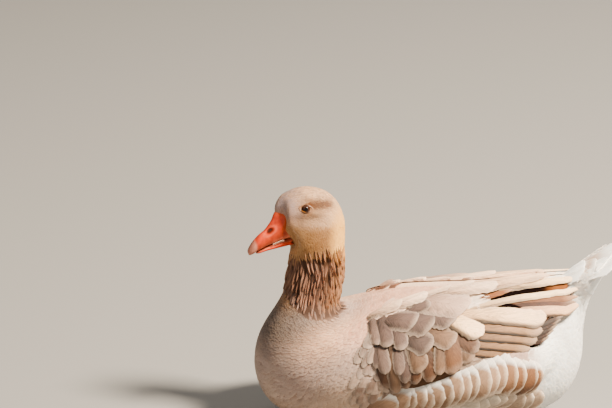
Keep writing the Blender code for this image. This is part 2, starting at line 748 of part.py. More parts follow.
def tail_vanes(finish):
    around = unevenness(21)
    made = []
    for i in range(FAN_PAIRS):
        share = (i + 0.5) / FAN_PAIRS
        height = 0.0004 * (FAN_PAIRS - i)
        for side in (-1, 1):
            length = (fan_point(1.0, share) - fan_point(0.0, share)).length
            lift = around(height, 0.0001)
            made.append(vane_mesh(fan_point, 1.0, 1.0, side * share, length, FAN_HALF_WIDTH, 0.0, lift))
    for surface, rows in ((fan_point, UPPER_COVERTS), (undertail_point, UNDER_COVERTS)):
        for row in rows:
            for i in range(row.count):
                b = around(row.spread * ((i + 0.5) / row.count - 0.5), 0.03)
                lift = around(row.lift, 0.0003)
                made.append(vane_mesh(surface, 1.0, row.tips, b, COVERT_LENGTH, COVERT_HALF_WIDTH, 0.0, lift))
    return [helper("vane", mesh, finish) for mesh in made]


def make_tail(finishes):
    root = OUTLINE[-1]
    down = Vector((root.belly_x - root.back_x, 0.0, root.belly_z - root.back_z)).normalized()
    behind = Vector((-down.z, 0.0, down.x)) * GAP
    first = root._replace(
        back_x=root.back_x + behind.x, back_z=root.back_z + behind.z,
        belly_x=root.belly_x + behind.x, belly_z=root.belly_z + behind.z,
    )
    rings = []
    for station in [first, *TAIL_OUTLINE]:
        rings.append([section_point(station, 2.0 * math.pi * i / HEAD_SIDES) for i in range(HEAD_SIDES)])
    tail = new_object("tail", ring_mesh(rings), finishes["white"])
    vanes = tail_vanes(finishes["white"])
    boolean(tail, vanes, "UNION")
    remove(vanes)
    return tail


# Legs, folded under the belly.
HOCK = Vector((0.078, 0.083, 0.0125))
ANKLE = Vector((-0.012, 0.086, 0.0090))
KNEE = Vector((0.040, 0.080, 0.050))
TOE_TIPS = (
    Vector((-0.076, 0.071, 0.0035)),
    Vector((-0.100, 0.091, 0.0035)),
    Vector((-0.082, 0.112, 0.0035)),
)
WEB_THICKNESS = 0.0026
LIMB_SIDES = 8
TOE_SIDES = 6


def limb_mesh(start, end, start_radius, end_radius, sides):
    """A tapered rod with a rounded far end; what would pass under the floor is laid flat on it."""
    direction = (end - start).normalized()
    rotation = direction.to_track_quat("Z", "Y")
    length = (end - start).length
    rings = []
    for share, scale in ((0.0, 1.0), (0.5, 1.0), (0.9, 1.0), (1.0, 0.6)):
        radius = (start_radius + (end_radius - start_radius) * share) * scale
        ring = []
        for i in range(sides):
            a = 2.0 * math.pi * i / sides
            local = Vector((radius * math.cos(a), radius * math.sin(a), length * share))
            p = start + rotation @ local
            p.z = max(0.0, p.z)
            ring.append(p)
        rings.append(ring)
    return ring_mesh(rings)


def web_mesh(side):
    """The thin web between the toes, flat on the floor, with a scalloped front edge."""
    start = Vector((ANKLE.x + 0.010, side * ANKLE.y, 0.0))
    edge = []
    tips = [Vector((p.x, side * p.y, 0.0)) for p in TOE_TIPS]
    for a, b in zip(tips, tips[1:]):
        for i in range(5):
            share = i / 5.0
            p = a.lerp(b, share)
            pull = 0.30 * math.sin(math.pi * share)
            edge.append(p.lerp(start, 0.06 + pull))
    edge.append(tips[-1].lerp(start, 0.06))
    outline = [start, *edge]
    mesh = bmesh.new()
    low = [mesh.verts.new(p) for p in outline]
    high = [mesh.verts.new(p + Vector((0.0, 0.0, WEB_THICKNESS))) for p in outline]
    count = len(outline)
    for i in range(1, count - 1):
        mesh.faces.new((low[0], low[i], low[i + 1]))
        mesh.faces.new((high[0], high[i], high[i + 1]))
    for i in range(count):
        j = (i + 1) % count
        mesh.faces.new((low[i], low[j], high[j], high[i]))
    bmesh.ops.recalc_face_normals(mesh, faces=mesh.faces)
    return mesh


def make_leg(side, name, cutters, finishes):
    def mirror(p):
        return Vector((p.x, side * p.y, p.z))

    leg = new_object(name, limb_mesh(mirror(HOCK), mirror(ANKLE), 0.0100, 0.0085, LIMB_SIDES), finishes["leg"])
    pieces = [helper("knee", limb_mesh(mirror(KNEE), mirror(HOCK), 0.0150, 0.0110, LIMB_SIDES), finishes["leg"])]
    pieces.append(helper("web", web_mesh(side), finishes["leg"]))
    for i, tip in enumerate(TOE_TIPS):
        start = ANKLE + Vector((0.0030 - 0.0011 * i, 0.0013 * (i - 1), -0.0012))
        toe = limb_mesh(mirror(start), mirror(tip), 0.0062, 0.0036, TOE_SIDES)
        pieces.append(helper("toe", toe, finishes["leg"]))
    boolean(leg, pieces, "UNION")
    remove(pieces)
    boolean(leg, cutters, "DIFFERENCE")
    return leg


def make_goose():
    clear_scene()
    finishes = {
        "buff": material("buff_feathers", BUFF),
        "pale": material("pale_feathers", PALE_BUFF),
        "neck": material("neck_feathers", NECK_BROWN),
        "white": material("white_feathers", WHITE),
        "bill": material("orange_bill", ORANGE, 0.45),
        "eye": material("brown_eye", EYE_BROWN, 0.1),
        "leg": material("orange_skin", ORANGE, 0.6),
    }
    head = make_head(finishes)
    make_bill(head, finishes)
    make_neck(finishes)
    torso = make_torso(finishes)
    tail = make_tail(finishes)
    wide_torso = swollen(torso, GAP, finishes["buff"])
    boolean(tail, [wide_torso], "DIFFERENCE")
    trunk = [wide_torso, swollen(tail, FEATHER_GAP, finishes["buff"])]
    for side, word in ((-1, "left"), (1, "right")):
        flank = make_flank(side, "flank_" + word, trunk, finishes)
        wide_flank = swollen(flank, FEATHER_GAP, finishes["buff"])
        make_wing(side, "wing_" + word, [*trunk, wide_flank], finishes)
        make_leg(side, "leg_" + word, [*trunk, wide_flank], finishes)
        remove([wide_flank])
    remove(trunk)


make_goose()
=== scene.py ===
import math
import random

import bmesh
import bpy
import numpy as np
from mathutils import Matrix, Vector


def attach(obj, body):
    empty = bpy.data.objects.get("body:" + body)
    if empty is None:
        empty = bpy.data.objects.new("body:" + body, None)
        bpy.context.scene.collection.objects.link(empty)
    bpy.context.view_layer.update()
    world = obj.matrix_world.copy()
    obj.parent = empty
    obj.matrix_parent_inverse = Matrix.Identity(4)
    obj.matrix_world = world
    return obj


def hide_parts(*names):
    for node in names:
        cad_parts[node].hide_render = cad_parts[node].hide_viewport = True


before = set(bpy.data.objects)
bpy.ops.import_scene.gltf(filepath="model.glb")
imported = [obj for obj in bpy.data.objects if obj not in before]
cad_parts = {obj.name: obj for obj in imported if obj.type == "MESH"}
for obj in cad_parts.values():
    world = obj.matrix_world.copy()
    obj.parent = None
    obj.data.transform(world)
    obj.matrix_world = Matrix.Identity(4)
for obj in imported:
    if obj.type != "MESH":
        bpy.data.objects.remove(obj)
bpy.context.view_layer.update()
print("frame loaded")


photoView = {
    "imageWidth": 612,
    "mmPerPixel": 1.4,          # at the bird
    "elevation": 16.0,          # degrees above level
    "distance": 5.0,
    "aim": (-0.1806, 0.0, 0.3148),
    "sensor": 36.0,
}
studio = {
    "lamps": {
        "key": {"place": (2.5, -1.45, 3.7), "watts": 1750.0, "size": 1.0, "colour": (1.0, 0.85, 0.66)},
        "fill": {"place": (-3.2, -3.0, 1.8), "watts": 64.0, "size": 3.0, "colour": (1.0, 0.94, 0.88)},
        "rim": {"place": (1.2, 3.0, 2.8), "watts": 120.0, "size": 1.6, "colour": (1.0, 0.9, 0.76)},
    },
    "sky": (1.0, 0.96, 0.91),
    "skyStrength": 0.27,
    "floorSize": 30.0,
    "floorColour": (0.17, 0.167, 0.162),
    "target": (0.0, 0.0, 0.15),
}


def addCamera():
    aim = Vector(photoView["aim"])
    rise = math.radians(photoView["elevation"])
    away = Vector((0.0, -math.cos(rise), math.sin(rise))) * photoView["distance"]
    width = photoView["imageWidth"] * photoView["mmPerPixel"] / 1000.0
    data = bpy.data.cameras.new("photoCamera")
    data.sensor_width = photoView["sensor"]
    data.lens = photoView["sensor"] * photoView["distance"] / width
    camera = bpy.data.objects.new("photoCamera", data)
    camera.location = aim + away
    camera.rotation_euler = (-away).to_track_quat("-Z", "Y").to_euler()
    bpy.context.scene.collection.objects.link(camera)
    bpy.context.scene.camera = camera


def addStudio():
    target = Vector(studio["target"])
    for name, values in studio["lamps"].items():
        lamp = bpy.data.lights.new(name, "AREA")
        lamp.energy = values["watts"]
        lamp.size = values["size"]
        lamp.color = values["colour"]
        holder = bpy.data.objects.new(name, lamp)
        holder.location = values["place"]
        holder.rotation_euler = (target - Vector(values["place"])).to_track_quat("-Z", "Y").to_euler()
        bpy.context.scene.collection.objects.link(holder)
    world = bpy.data.worlds.new("paleSky")
    world.use_nodes = True
    background = world.node_tree.nodes["Background"]
    background.inputs["Color"].default_value = (*studio["sky"], 1.0)
    background.inputs["Strength"].default_value = studio["skyStrength"]
    bpy.context.scene.world = world
    bpy.ops.mesh.primitive_plane_add(size=studio["floorSize"])
    floor = bpy.context.object
    floor.name = "floor"
    matte, _, shader = newMaterial("paleFloor", {"Roughness": 0.9})
    shader.inputs["Base Color"].default_value = (*studio["floorColour"], 1.0)
    floor.data.materials.append(matte)


# The outline that the solids have: back x and z, belly x and z, half width, widest share, section power,
# how far the sides lie behind.
bodyOutline = np.array([
    (-0.2258, 0.3065, -0.21, 0.259, 0.0165, 0.4, 0.78, 0.0125),  # face
    (-0.2238, 0.3195, -0.204, 0.2565, 0.021, 0.48, 0.86, 0.01),
    (-0.2125, 0.333, -0.203, 0.255, 0.0255, 0.56, 0.95, 0.005),
    (-0.1865, 0.341, -0.2025, 0.2535, 0.0295, 0.6, 0.95, 0.002),  # crown
    (-0.159, 0.3365, -0.2025, 0.252, 0.032, 0.6, 0.95, 0.0),
    (-0.14, 0.322, -0.2028, 0.2503, 0.0335, 0.6, 0.95, 0.0),
    (-0.129, 0.2995, -0.2033, 0.248, 0.034, 0.58, 0.95, 0.0),
    (-0.125, 0.2755, -0.2045, 0.2435, 0.034, 0.55, 1.0, 0.0),
    (-0.1243, 0.2505, -0.2065, 0.2325, 0.0345, 0.5, 1.0, 0.0),  # throat
    (-0.1252, 0.226, -0.2083, 0.217, 0.0355, 0.5, 1.0, 0.0),
    (-0.128, 0.203, -0.2112, 0.1995, 0.038, 0.5, 1.0, 0.0),
    (-0.131, 0.1865, -0.218, 0.1825, 0.043, 0.5, 1.0, 0.0),
    (-0.133, 0.174, -0.229, 0.162, 0.053, 0.5, 1.0, 0.0),  # foot of the neck
    (-0.129, 0.166, -0.2415, 0.1385, 0.067, 0.5, 0.95, 0.0),
    (-0.117, 0.166, -0.252, 0.111, 0.083, 0.5, 0.92, 0.0),
    (-0.1, 0.1715, -0.255, 0.083, 0.096, 0.5, 0.9, 0.0),  # breast
    (-0.08, 0.178, -0.249, 0.055, 0.106, 0.5, 0.9, 0.0),
    (-0.057, 0.1835, -0.231, 0.028, 0.113, 0.5, 0.9, 0.0),
    (-0.03, 0.1875, -0.195, 0.007, 0.1175, 0.5, 0.9, 0.0),
    (0.0, 0.1895, -0.14, -0.0045, 0.119, 0.5, 0.9, 0.0),
    (0.03, 0.1895, -0.07, -0.005, 0.119, 0.5, 0.9, 0.0),  # belly
    (0.06, 0.188, 0.0, -0.005, 0.116, 0.5, 0.9, 0.0),
    (0.09, 0.1845, 0.06, -0.005, 0.108, 0.49, 0.92, 0.0),
    (0.116, 0.182, 0.108, -0.001, 0.097, 0.48, 0.98, 0.0),
    (0.136, 0.182, 0.148, 0.011, 0.083, 0.46, 1.05, 0.0),
    (0.15, 0.185, 0.182, 0.03, 0.071, 0.45, 1.1, 0.0),  # vent
    (0.159, 0.19, 0.202, 0.06, 0.06, 0.46, 1.1, 0.0),
    (0.167, 0.196, 0.211, 0.095, 0.05, 0.48, 1.05, 0.0),
    (0.174, 0.202, 0.212, 0.13, 0.041, 0.5, 1.0, 0.0),
    (0.18, 0.208, 0.216, 0.162, 0.033, 0.5, 1.0, 0.0),  # root of the tail
    (0.196, 0.219, 0.223, 0.186, 0.038, 0.44, 1.0, 0.0),
    (0.212, 0.229, 0.232, 0.208, 0.04, 0.42, 1.0, 0.0),
    (0.228, 0.238, 0.242, 0.225, 0.038, 0.4, 1.0, 0.0),
    (0.242, 0.244, 0.249, 0.237, 0.027, 0.4, 1.0, 0.0),
])
tailEnd = len(bodyOutline) - 1.0    # station numbers count the rows
faceHollow = 0.55             # how far the bill's rear edge is drawn forwards at mid height
headTurn = {"angle": math.radians(9), "axisX": -0.165, "fromZ": 0.185, "toZ": 0.24}
bodyGrid = {"alongSteps": 661, "roundSteps": 192, "bulgeReach": 0.045, "bulgeSteps": 46, "bulgeFrom": 14.0}
flankPad = {
    "centre": (0.048, 0.092, 0.09),
    "radii": (0.12, 0.04, 0.047),
    "rise": math.radians(14),
    "taper": 1.9,
    "frontTaper": 0.6,
    "bluntness": 2.6,
    "softenAlong": 9.0,         # grid steps
    "softenRound": 1.8,
}


def smoothstep(value, low, high):
    share = np.clip((value - low) / (high - low), 0.0, 1.0)
    return share * share * (3.0 - 2.0 * share)


def bump(value, middle, width):
    return np.exp(-(((value - middle) / width) ** 2))


def turns(count):
    return np.arange(count) * 2.0 * np.pi / count


def unit(vectors):
    return vectors / np.maximum(1e-12, np.linalg.norm(vectors, axis=-1, keepdims=True))


# The row at station number t, on a smooth curve through the rows.
def along(table, t):
    t = np.asarray(t, dtype=float)
    last = len(table) - 1
    i = np.clip(np.floor(t).astype(int), 0, last - 1)
    u = (t - i)[..., None]
    a = table[np.maximum(0, i - 1)]
    b = table[i]
    c = table[i + 1]
    d = table[np.minimum(last, i + 2)]
    return (
        a * (-0.5 * u + u * u - 0.5 * u ** 3)
        + b * (1.0 - 2.5 * u * u + 1.5 * u ** 3)
        + c * (0.5 * u + 2.0 * u * u - 1.5 * u ** 3)
        + d * (-0.5 * u * u + 0.5 * u ** 3)
    )


def sectionPoint(row, angle):
    angle = np.asarray(angle, dtype=float)
    cosine = np.cos(angle)
    down = 0.5 * (1.0 - cosine)
    down = down + 4.0 * (row[..., 5] - 0.5) * down * (1.0 - down)
    side = np.sin(angle)
    out = np.sign(side) * np.abs(side) ** row[..., 6] * row[..., 4]
    behind = row[..., 7] * (1.0 - np.abs(cosine) ** 20) - faceHollow * row[..., 7] * bump(down, 0.52, 0.24)
    x = row[..., 0] + (row[..., 2] - row[..., 0]) * down + behind
    z = row[..., 1] + (row[..., 3] - row[..., 1]) * down
    return np.stack([x, -out, np.maximum(0.0, z)], axis=-1)


def turned(points, way=1.0):    # the head's turn, or with way -1 its undoing
    share = smoothstep(points[..., 2], headTurn["fromZ"], headTurn["toZ"]) * (points[..., 0] < 0.0)
    angle = way * headTurn["angle"] * share
    x = points[..., 0] - headTurn["axisX"]
    y = points[..., 1]
    c, s = np.cos(angle), np.sin(angle)
    return np.stack([headTurn["axisX"] + x * c - y * s, x * s + y * c, points[..., 2]], axis=-1)


def gridNormals(grid):
    byT = np.gradient(grid, axis=0)
    byAngle = 0.5 * (np.roll(grid, -1, axis=1) - np.roll(grid, 1, axis=1))
    return unit(byT), unit(byAngle), unit(np.cross(byAngle, byT))


def softened(values, steps, axis, wraps):
    reach = int(math.ceil(3.0 * steps))
    total = np.zeros_like(values)
    weight = 0.0
    padded = values if wraps else np.pad(values, ((reach, reach), (0, 0)), mode="edge")
    for shift in range(-reach, reach + 1):
        w = math.exp(-0.5 * (shift / steps) ** 2)
        if wraps:
            total += w * np.roll(values, shift, axis=axis)
        else:
            total += w * padded[reach + shift:reach + shift + len(values)]
        weight += w
    return total / weight


def insidePad(points, side):
    cx, cy, cz = flankPad["centre"]
    rx, ry, rz = flankPad["radii"]
    c, s = math.cos(flankPad["rise"]), math.sin(flankPad["rise"])
    dx = points[..., 0] - cx
    dz = points[..., 2] - cz
    x = dx * c + dz * s
    z = -dx * s + dz * c
    inwards = np.where(x > 0.0, flankPad["taper"], flankPad["frontTaper"]) * x * x
    y = side * points[..., 1] - cy + inwards
    girth = np.sqrt(np.clip(1.0 - np.abs(x / rx) ** flankPad["bluntness"], 0.0, 1.0))
    return (y / ry) ** 2 + (z / rz) ** 2 < girth ** 2


def makeBodyGrid():
    t = np.linspace(0.0, tailEnd, bodyGrid["alongSteps"])
    grid = sectionPoint(along(bodyOutline, t)[:, None, :], turns(bodyGrid["roundSteps"])[None, :])
    normal = gridNormals(grid)[2]
    bulge = np.zeros(grid.shape[:2])
    for reach in np.linspace(0.0, bodyGrid["bulgeReach"], bodyGrid["bulgeSteps"]):
        points = grid + normal * reach
        bulge = np.where(insidePad(points, -1.0) | insidePad(points, 1.0), reach, bulge)
    bulge[t < bodyGrid["bulgeFrom"]] = 0.0
    bulge = softened(softened(bulge, flankPad["softenAlong"], 0, False), flankPad["softenRound"], 1, True)
    return turned(grid + normal * bulge[..., None])


body = {"grid": makeBodyGrid()}
body["alongDir"], _, body["normal"] = gridNormals(body["grid"])


def bodyAt(t, angle, *names):       # values of the body's grids at station t and angle
    steps = bodyGrid["alongSteps"] - 1
    row = np.clip(np.asarray(t) / tailEnd * steps, 0.0, steps - 1e-6)
    column = (np.asarray(angle) / (2.0 * np.pi) * bodyGrid["roundSteps"]) % bodyGrid["roundSteps"]
    i = row.astype(int)
    j = column.astype(int) % bodyGrid["roundSteps"]
    k = (j + 1) % bodyGrid["roundSteps"]
    u = (row - i)[..., None]
    v = (column - np.floor(column))[..., None]
    found = []
    for grid in [body[name] for name in names or ("grid",)]:
        near = grid[i, j] * (1 - v) + grid[i, k] * v
        found.append(near * (1 - u) + (grid[i + 1, j] * (1 - v) + grid[i + 1, k] * v) * u)
    return found[0] if len(found) == 1 else found


print("body shape ready")


def newMaterial(name, values):
    made = bpy.data.materials.new(name)
    made.use_nodes = True
    shader = made.node_tree.nodes["Principled BSDF"]
    for key, value in values.items():
        shader.inputs[key].default_value = value
    return made, made.node_tree, shader


addCamera()
addStudio()
print("camera and studio set")


def addNode(tree, kind, values=None, **settings):
    made = tree.nodes.new(kind)
    for key, value in settings.items():
        setattr(made, key, value)
    for key, value in (values or {}).items():
        if isinstance(value, bpy.types.NodeSocket):
            tree.links.new(value, made.inputs[key])
        else:
            made.inputs[key].default_value = value
    return made


def calc(tree, operation, *values, clamp=False):
    made = addNode(tree, "ShaderNodeMath", dict(enumerate(values)), operation=operation)
    made.use_clamp = clamp
    return made.outputs[0]


def ramp(tree, value, low, high, kind="SMOOTHSTEP"):
    values = {0: value, 1: low, 2: high, 3: 0.0, 4: 1.0}
    return addNode(tree, "ShaderNodeMapRange", values, interpolation_type=kind).outputs[0]


def noise(tree, coords, scale, detail):
    values = {"Vector": coords, "Scale": scale, "Detail": detail}
    return addNode(tree, "ShaderNodeTexNoise", values).outputs[0]


def shaded(tree, colour, shade):    # a colour times one grey value
    tone = addNode(tree, "ShaderNodeCombineXYZ", {0: shade, 1: shade, 2: shade}).outputs[0]
    return mixed(tree, 1.0, colour, tone, "MULTIPLY")


def objectCoords(tree):
    return addNode(tree, "ShaderNodeTexCoord").outputs["Object"]


def ownTint(tree):
    return addNode(tree, "ShaderNodeAttribute", attribute_name="tint").outputs["Color"]


def addRelief(tree, shader, height, strength, distance):
    relief = addNode(tree, "ShaderNodeBump", {"Strength": strength, "Distance": distance, "Height": height})
    tree.links.new(relief.outputs[0], shader.inputs["Normal"])


def mixed(tree, share, first, second, blend="MIX"):
    made = tree.nodes.new("ShaderNodeMix")
    made.data_type = "RGBA"
    made.blend_type = blend
    for index, value in ((0, share), (6, first), (7, second)):
        if isinstance(value, bpy.types.NodeSocket):
            tree.links.new(value, made.inputs[index])
        else:
            made.inputs[index].default_value = value if index == 0 or len(value) == 4 else (*value, 1.0)
    return made.outputs[2]


def newGroup(name, inputs, outputs):    # inputs map a label to its value, outputs to the socket's kind
    tree = bpy.data.node_groups.new(name, "ShaderNodeTree")
    for label, value in inputs.items():
        kind = "NodeSocketColor" if isinstance(value, tuple) else "NodeSocketFloat"
        tree.interface.new_socket(name=label, in_out="INPUT", socket_type=kind).default_value = value
    for label, kind in outputs.items():
        tree.interface.new_socket(name=label, in_out="OUTPUT", socket_type=kind)
    return tree, tree.nodes.new("NodeGroupInput").outputs, tree.nodes.new("NodeGroupOutput").inputs


# Shaft, barbs, pale edge and stains of one feather, from its own map: x across, y from root to tip. Root Shade and
# Low Shade are painted shade, darker towards its root and towards its lower side.
def makeVaneGroup():
    tree, given, put = newGroup(
        "vanePattern",
        {
            "Tint": (0.5, 0.5, 0.5, 1.0), "Edge Tint": (1.0, 1.0, 1.0, 1.0), "Edge Width": 0.3,
            "Edge Strength": 0.5, "Shaft Strength": 0.3, "Barb Strength": 0.3, "Barb Count": 18.0,
            "Root Shade": 0.3, "Low Shade": 0.0,
        },
        {"Color": "NodeSocketColor", "Height": "NodeSocketFloat"},
    )

    def op(operation, *values, **more):
        return calc(tree, operation, *values, **more)

    place = addNode(tree, "ShaderNodeUVMap", uv_map="vane").outputs[0]
    parts = addNode(tree, "ShaderNodeSeparateXYZ", {0: place}).outputs
    across = op("MULTIPLY", op("ABSOLUTE", op("SUBTRACT", parts[0], 0.5)), 2.0)
    coords = objectCoords(tree)
    grain = op("SUBTRACT", noise(tree, coords, 420.0, 3.0), 0.5)
    patches = noise(tree, coords, 46.0, 3.0)
    edgeFrom = op("SUBTRACT", 1.0, given["Edge Width"])
    sideEdge = ramp(tree, op("MULTIPLY_ADD", grain, 0.35, across), edgeFrom, 1.0, "LINEAR")
    tipFrom = op("MULTIPLY_ADD", given["Edge Width"], -0.55, 1.0)
    tipEdge = ramp(tree, op("MULTIPLY_ADD", grain, 0.12, parts[1]), tipFrom, 1.0, "LINEAR")
    edge = op("MULTIPLY", op("MAXIMUM", sideEdge, tipEdge), given["Edge Strength"], clamp=True)
    wander = op("MULTIPLY_ADD", patches, 0.1, op("MULTIPLY_ADD", across, -0.42, parts[1]))
    streakAt = addNode(tree, "ShaderNodeCombineXYZ", {
        0: op("MULTIPLY", parts[0], 2.6), 1: op("MULTIPLY", wander, given["Barb Count"]),
        2: op("MULTIPLY", patches, 6.0),
    }).outputs[0]
    barbs = op("MULTIPLY_ADD", noise(tree, streakAt, 1.0, 2.0), 3.0, -1.5)
    barbs = op("MULTIPLY", barbs, given["Barb Strength"])
    shaft = op("SUBTRACT", 1.0, ramp(tree, across, 0.02, 0.13))
    shade = op("MULTIPLY_ADD", barbs, 0.2, 1.0)
    shade = op("MULTIPLY_ADD", op("SUBTRACT", patches, 0.5), 0.34, shade)
    root = op("MULTIPLY", op("SUBTRACT", 1.0, ramp(tree, parts[1], 0.1, 0.8)), given["Root Shade"])
    low = op("MULTIPLY", ramp(tree, parts[0], 0.45, 0.98), given["Low Shade"])
    shade = op("SUBTRACT", op("SUBTRACT", shade, root), low)
    shade = op("MULTIPLY_ADD", op("MULTIPLY", shaft, given["Shaft Strength"]), -0.3, shade)
    tree.links.new(mixed(tree, edge, shaded(tree, given["Tint"], shade), given["Edge Tint"]), put["Color"])
    height = op("MULTIPLY_ADD", barbs, 0.5, 0.5)
    tree.links.new(op("MULTIPLY_ADD", shaft, given["Shaft Strength"], height), put["Height"])
    return tree


vaneGroup = makeVaneGroup()


softLight = {"weight": 0.35, "radius": (1.0, 0.62, 0.42), "scale": 0.004}


def featherMaterial(name, values, roughness=0.72, bump=0.25):
    made, tree, shader = newMaterial(name, {
        "Roughness": roughness, "Metallic": 0.0, "Specular IOR Level": 0.25,
        "Subsurface Weight": softLight["weight"], "Subsurface Radius": softLight["radius"],
        "Subsurface Scale": softLight["scale"],
    })
    pattern = tree.nodes.new("ShaderNodeGroup")
    pattern.node_tree = vaneGroup
    tree.links.new(ownTint(tree), pattern.inputs["Tint"])
    for key, value in values.items():
        pattern.inputs[key].default_value = (*value, 1.0) if isinstance(value, tuple) else value
    tree.links.new(pattern.outputs["Color"], shader.inputs["Base Color"])
    addRelief(tree, shader, pattern.outputs["Height"], bump, 0.0004)
    return made


def skinMaterial(name, specular=0.2):
    made, tree, shader = newMaterial(name, {"Roughness": 0.8, "Specular IOR Level": specular})
    fluff = noise(tree, objectCoords(tree), 700.0, 4.0)
    colour = shaded(tree, ownTint(tree), calc(tree, "MULTIPLY_ADD", fluff, 0.6, 0.55))
    tree.links.new(colour, shader.inputs["Base Color"])
    addRelief(tree, shader, fluff, 0.5, 0.0006)
    return made


# A mesh from arrays; a map holds one pair for each point, or for each corner.
def arrayMesh(name, points, faces, tint, bakeMap, vaneMap=None):
    mesh = bpy.data.meshes.new(name)
    mesh.from_pydata(points.tolist(), [], faces)
    corners = np.zeros(len(mesh.loops), dtype=np.int32)
    mesh.loops.foreach_get("vertex_index", corners)
    for label, values in (("OFBake", bakeMap), ("vane", vaneMap)):
        if values is not None:
            spread = values[corners] if len(values) == len(points) else values
            layer = mesh.uv_layers.new(name=label)
            layer.data.foreach_set("uv", np.ascontiguousarray(spread, dtype=np.float32).ravel())
    setTint(mesh, tint)
    mesh.shade_smooth()
    return mesh


def setTint(mesh, tint):
    colours = np.ones((len(mesh.vertices), 4), dtype=np.float32)
    colours[:, :3] = tint
    mesh.attributes.new("tint", "FLOAT_COLOR", "POINT").data.foreach_set("color", colours.ravel())


def outwardFaces(mesh, triangles=False):
    work = bmesh.new()
    work.from_mesh(mesh)
    bmesh.ops.recalc_face_normals(work, faces=work.faces)
    if triangles:
        bmesh.ops.triangulate(work, faces=work.faces)
    work.to_mesh(mesh)
    work.free()
    return mesh


def addPiece(mesh, finish, slotName, *nodes, sharpAngle=None):     # the piece has its mesh's name
    if sharpAngle:
        mesh.set_sharp_from_angle(angle=math.radians(sharpAngle))
    if finish:
        mesh.materials.clear()
        mesh.materials.append(finish)
    piece = bpy.data.objects.new(mesh.name, mesh)
    bpy.context.scene.collection.objects.link(piece)
    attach(piece, "root")
    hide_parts(*nodes)


def gridFaces(rows, columns, wraps=False, flip=False):
    faces = []
    for i in range(rows - 1):
        for j in range(columns if wraps else columns - 1):
            k = (j + 1) % columns
            face = (i * columns + j, i * columns + k, (i + 1) * columns + k, (i + 1) * columns + j)
            faces.append(tuple(reversed(face)) if flip else face)
    return faces


def closedSheet(top, low, flip=False):      # points and faces of a thin sheet between two grids
    rows, columns = top.shape[:2]
    size = rows * columns
    grid = gridFaces(rows, columns)
    faces = [tuple(reversed(f)) for f in grid] + [tuple(size + i for i in f) for f in grid]
    rim = list(range(columns)) + [i * columns + columns - 1 for i in range(1, rows)]
    rim += [(rows - 1) * columns + j for j in range(columns - 2, -1, -1)]
    rim += [i * columns for i in range(rows - 2, 0, -1)]
    faces += [(a, b, size + b, size + a) for a, b in zip(rim, rim[1:] + rim[:1])]
    if flip:
        faces = [tuple(reversed(f)) for f in faces]
    return np.concatenate([top.reshape(-1, 3), low.reshape(-1, 3)]), faces


# A closed mesh through rings of equal length, with a bake map over its length and girth.
def closedLoft(name, rings, tint, flip):
    rows, columns = rings.shape[:2]
    faces = gridFaces(rows, columns, wraps=True, flip=flip)
    first = rows * columns
    last = first - columns
    for j in range(columns):
        k = (j + 1) % columns
        for face in ((first, j, k), (first + 1, last + k, last + j)):
            faces.append(face if flip else tuple(reversed(face)))
    points = np.concatenate([rings.reshape(-1, 3), rings[:1].mean(axis=1), rings[-1:].mean(axis=1)])
    colours = np.concatenate([tint.reshape(-1, 3), tint[0, :1], tint[-1, :1]])
    corners = []
    for face in faces:
        known = [index % columns for index in face if index < first]
        wraps = 0 in known and columns - 1 in known
        for index in face:
            if index >= first:
                corners.append(((known[0] + 1.0) / (columns + 1.0), 0.002 if index == first else 0.998))
                continue
            shown = columns if wraps and index % columns == 0 else index % columns
            corners.append(((shown + 0.5) / (columns + 1.0), 0.01 + 0.98 * (index // columns) / (rows - 1.0)))
    return arrayMesh(name, points, faces, colours, np.array(corners))


plumage = {
    "crown": (0.37, 0.2, 0.104),
    "foreheadGrey": (0.17, 0.118, 0.112),
    "cheek": (0.185, 0.078, 0.02),
    "eyeStripe": (0.085, 0.026, 0.004),
    "underEye": (0.33, 0.18, 0.096),
    "belowEye": (0.1, 0.045, 0.018),
    # nape: partly painted sunlight, the back of the head's buff made bright orange as the sun lights it
    "face": (0.24, 0.125, 0.066),
    "nape": (0.66, 0.31, 0.062),
    "napeBrown": (0.25, 0.112, 0.046),
    "throat": (0.36, 0.17, 0.06),
    # painted shade in the furrows between the neck's locks, on the skin
    "neckGrooveShade": (0.032, 0.012, 0.005),
    "neckRidge": (0.16, 0.074, 0.044),
    "neckFoot": (0.2, 0.118, 0.088),
    "breast": (0.32, 0.212, 0.17),
    "breastWarm": (0.36, 0.235, 0.165),
    # partly painted sunlight: the shoulder's buff as the sun lights it
    "sunlitShoulder": (0.66, 0.345, 0.2),
    "back": (0.5, 0.245, 0.16),
    "flank": (0.46, 0.29, 0.19),
    "belly": (0.7, 0.6, 0.48),
    "white": (0.96, 0.93, 0.88),
    "tailPatch": (0.36, 0.19, 0.105),
}
markings = {
    "eye": (-0.1848, 0.3155),
    "lockFront": 10.6,          # station where the furrows end under the chin
    "lockBack": 13.4,           # and at the back of the neck
    "streakCentre": (-0.134, 0.085),
}


def waves(points, scale, seed):     # a smooth random field from about -1 to 1
    count = 6
    source = np.random.default_rng(seed)
    total = np.zeros(points.shape[:-1])
    for _ in range(count):
        direction = source.normal(size=3)
        direction *= source.uniform(0.6, 1.5) / np.linalg.norm(direction)
        total += np.sin(points @ direction * (2.0 * np.pi / scale) + source.uniform(0.0, 6.28))
    return total / math.sqrt(count * 0.5) * 0.5


def blended(colour, other, share):
    return colour + (np.array(other) - colour) * np.clip(share, 0.0, 1.0)[..., None]


def towards(colour, name, share):
    return blended(colour, plumage[name], share)


def lockEnd(angle):         # the station where the neck's furrows end at this angle
    back = 0.5 * (1.0 + np.cos(angle))
    return markings["lockFront"] + (markings["lockBack"] - markings["lockFront"]) * back ** 0.8


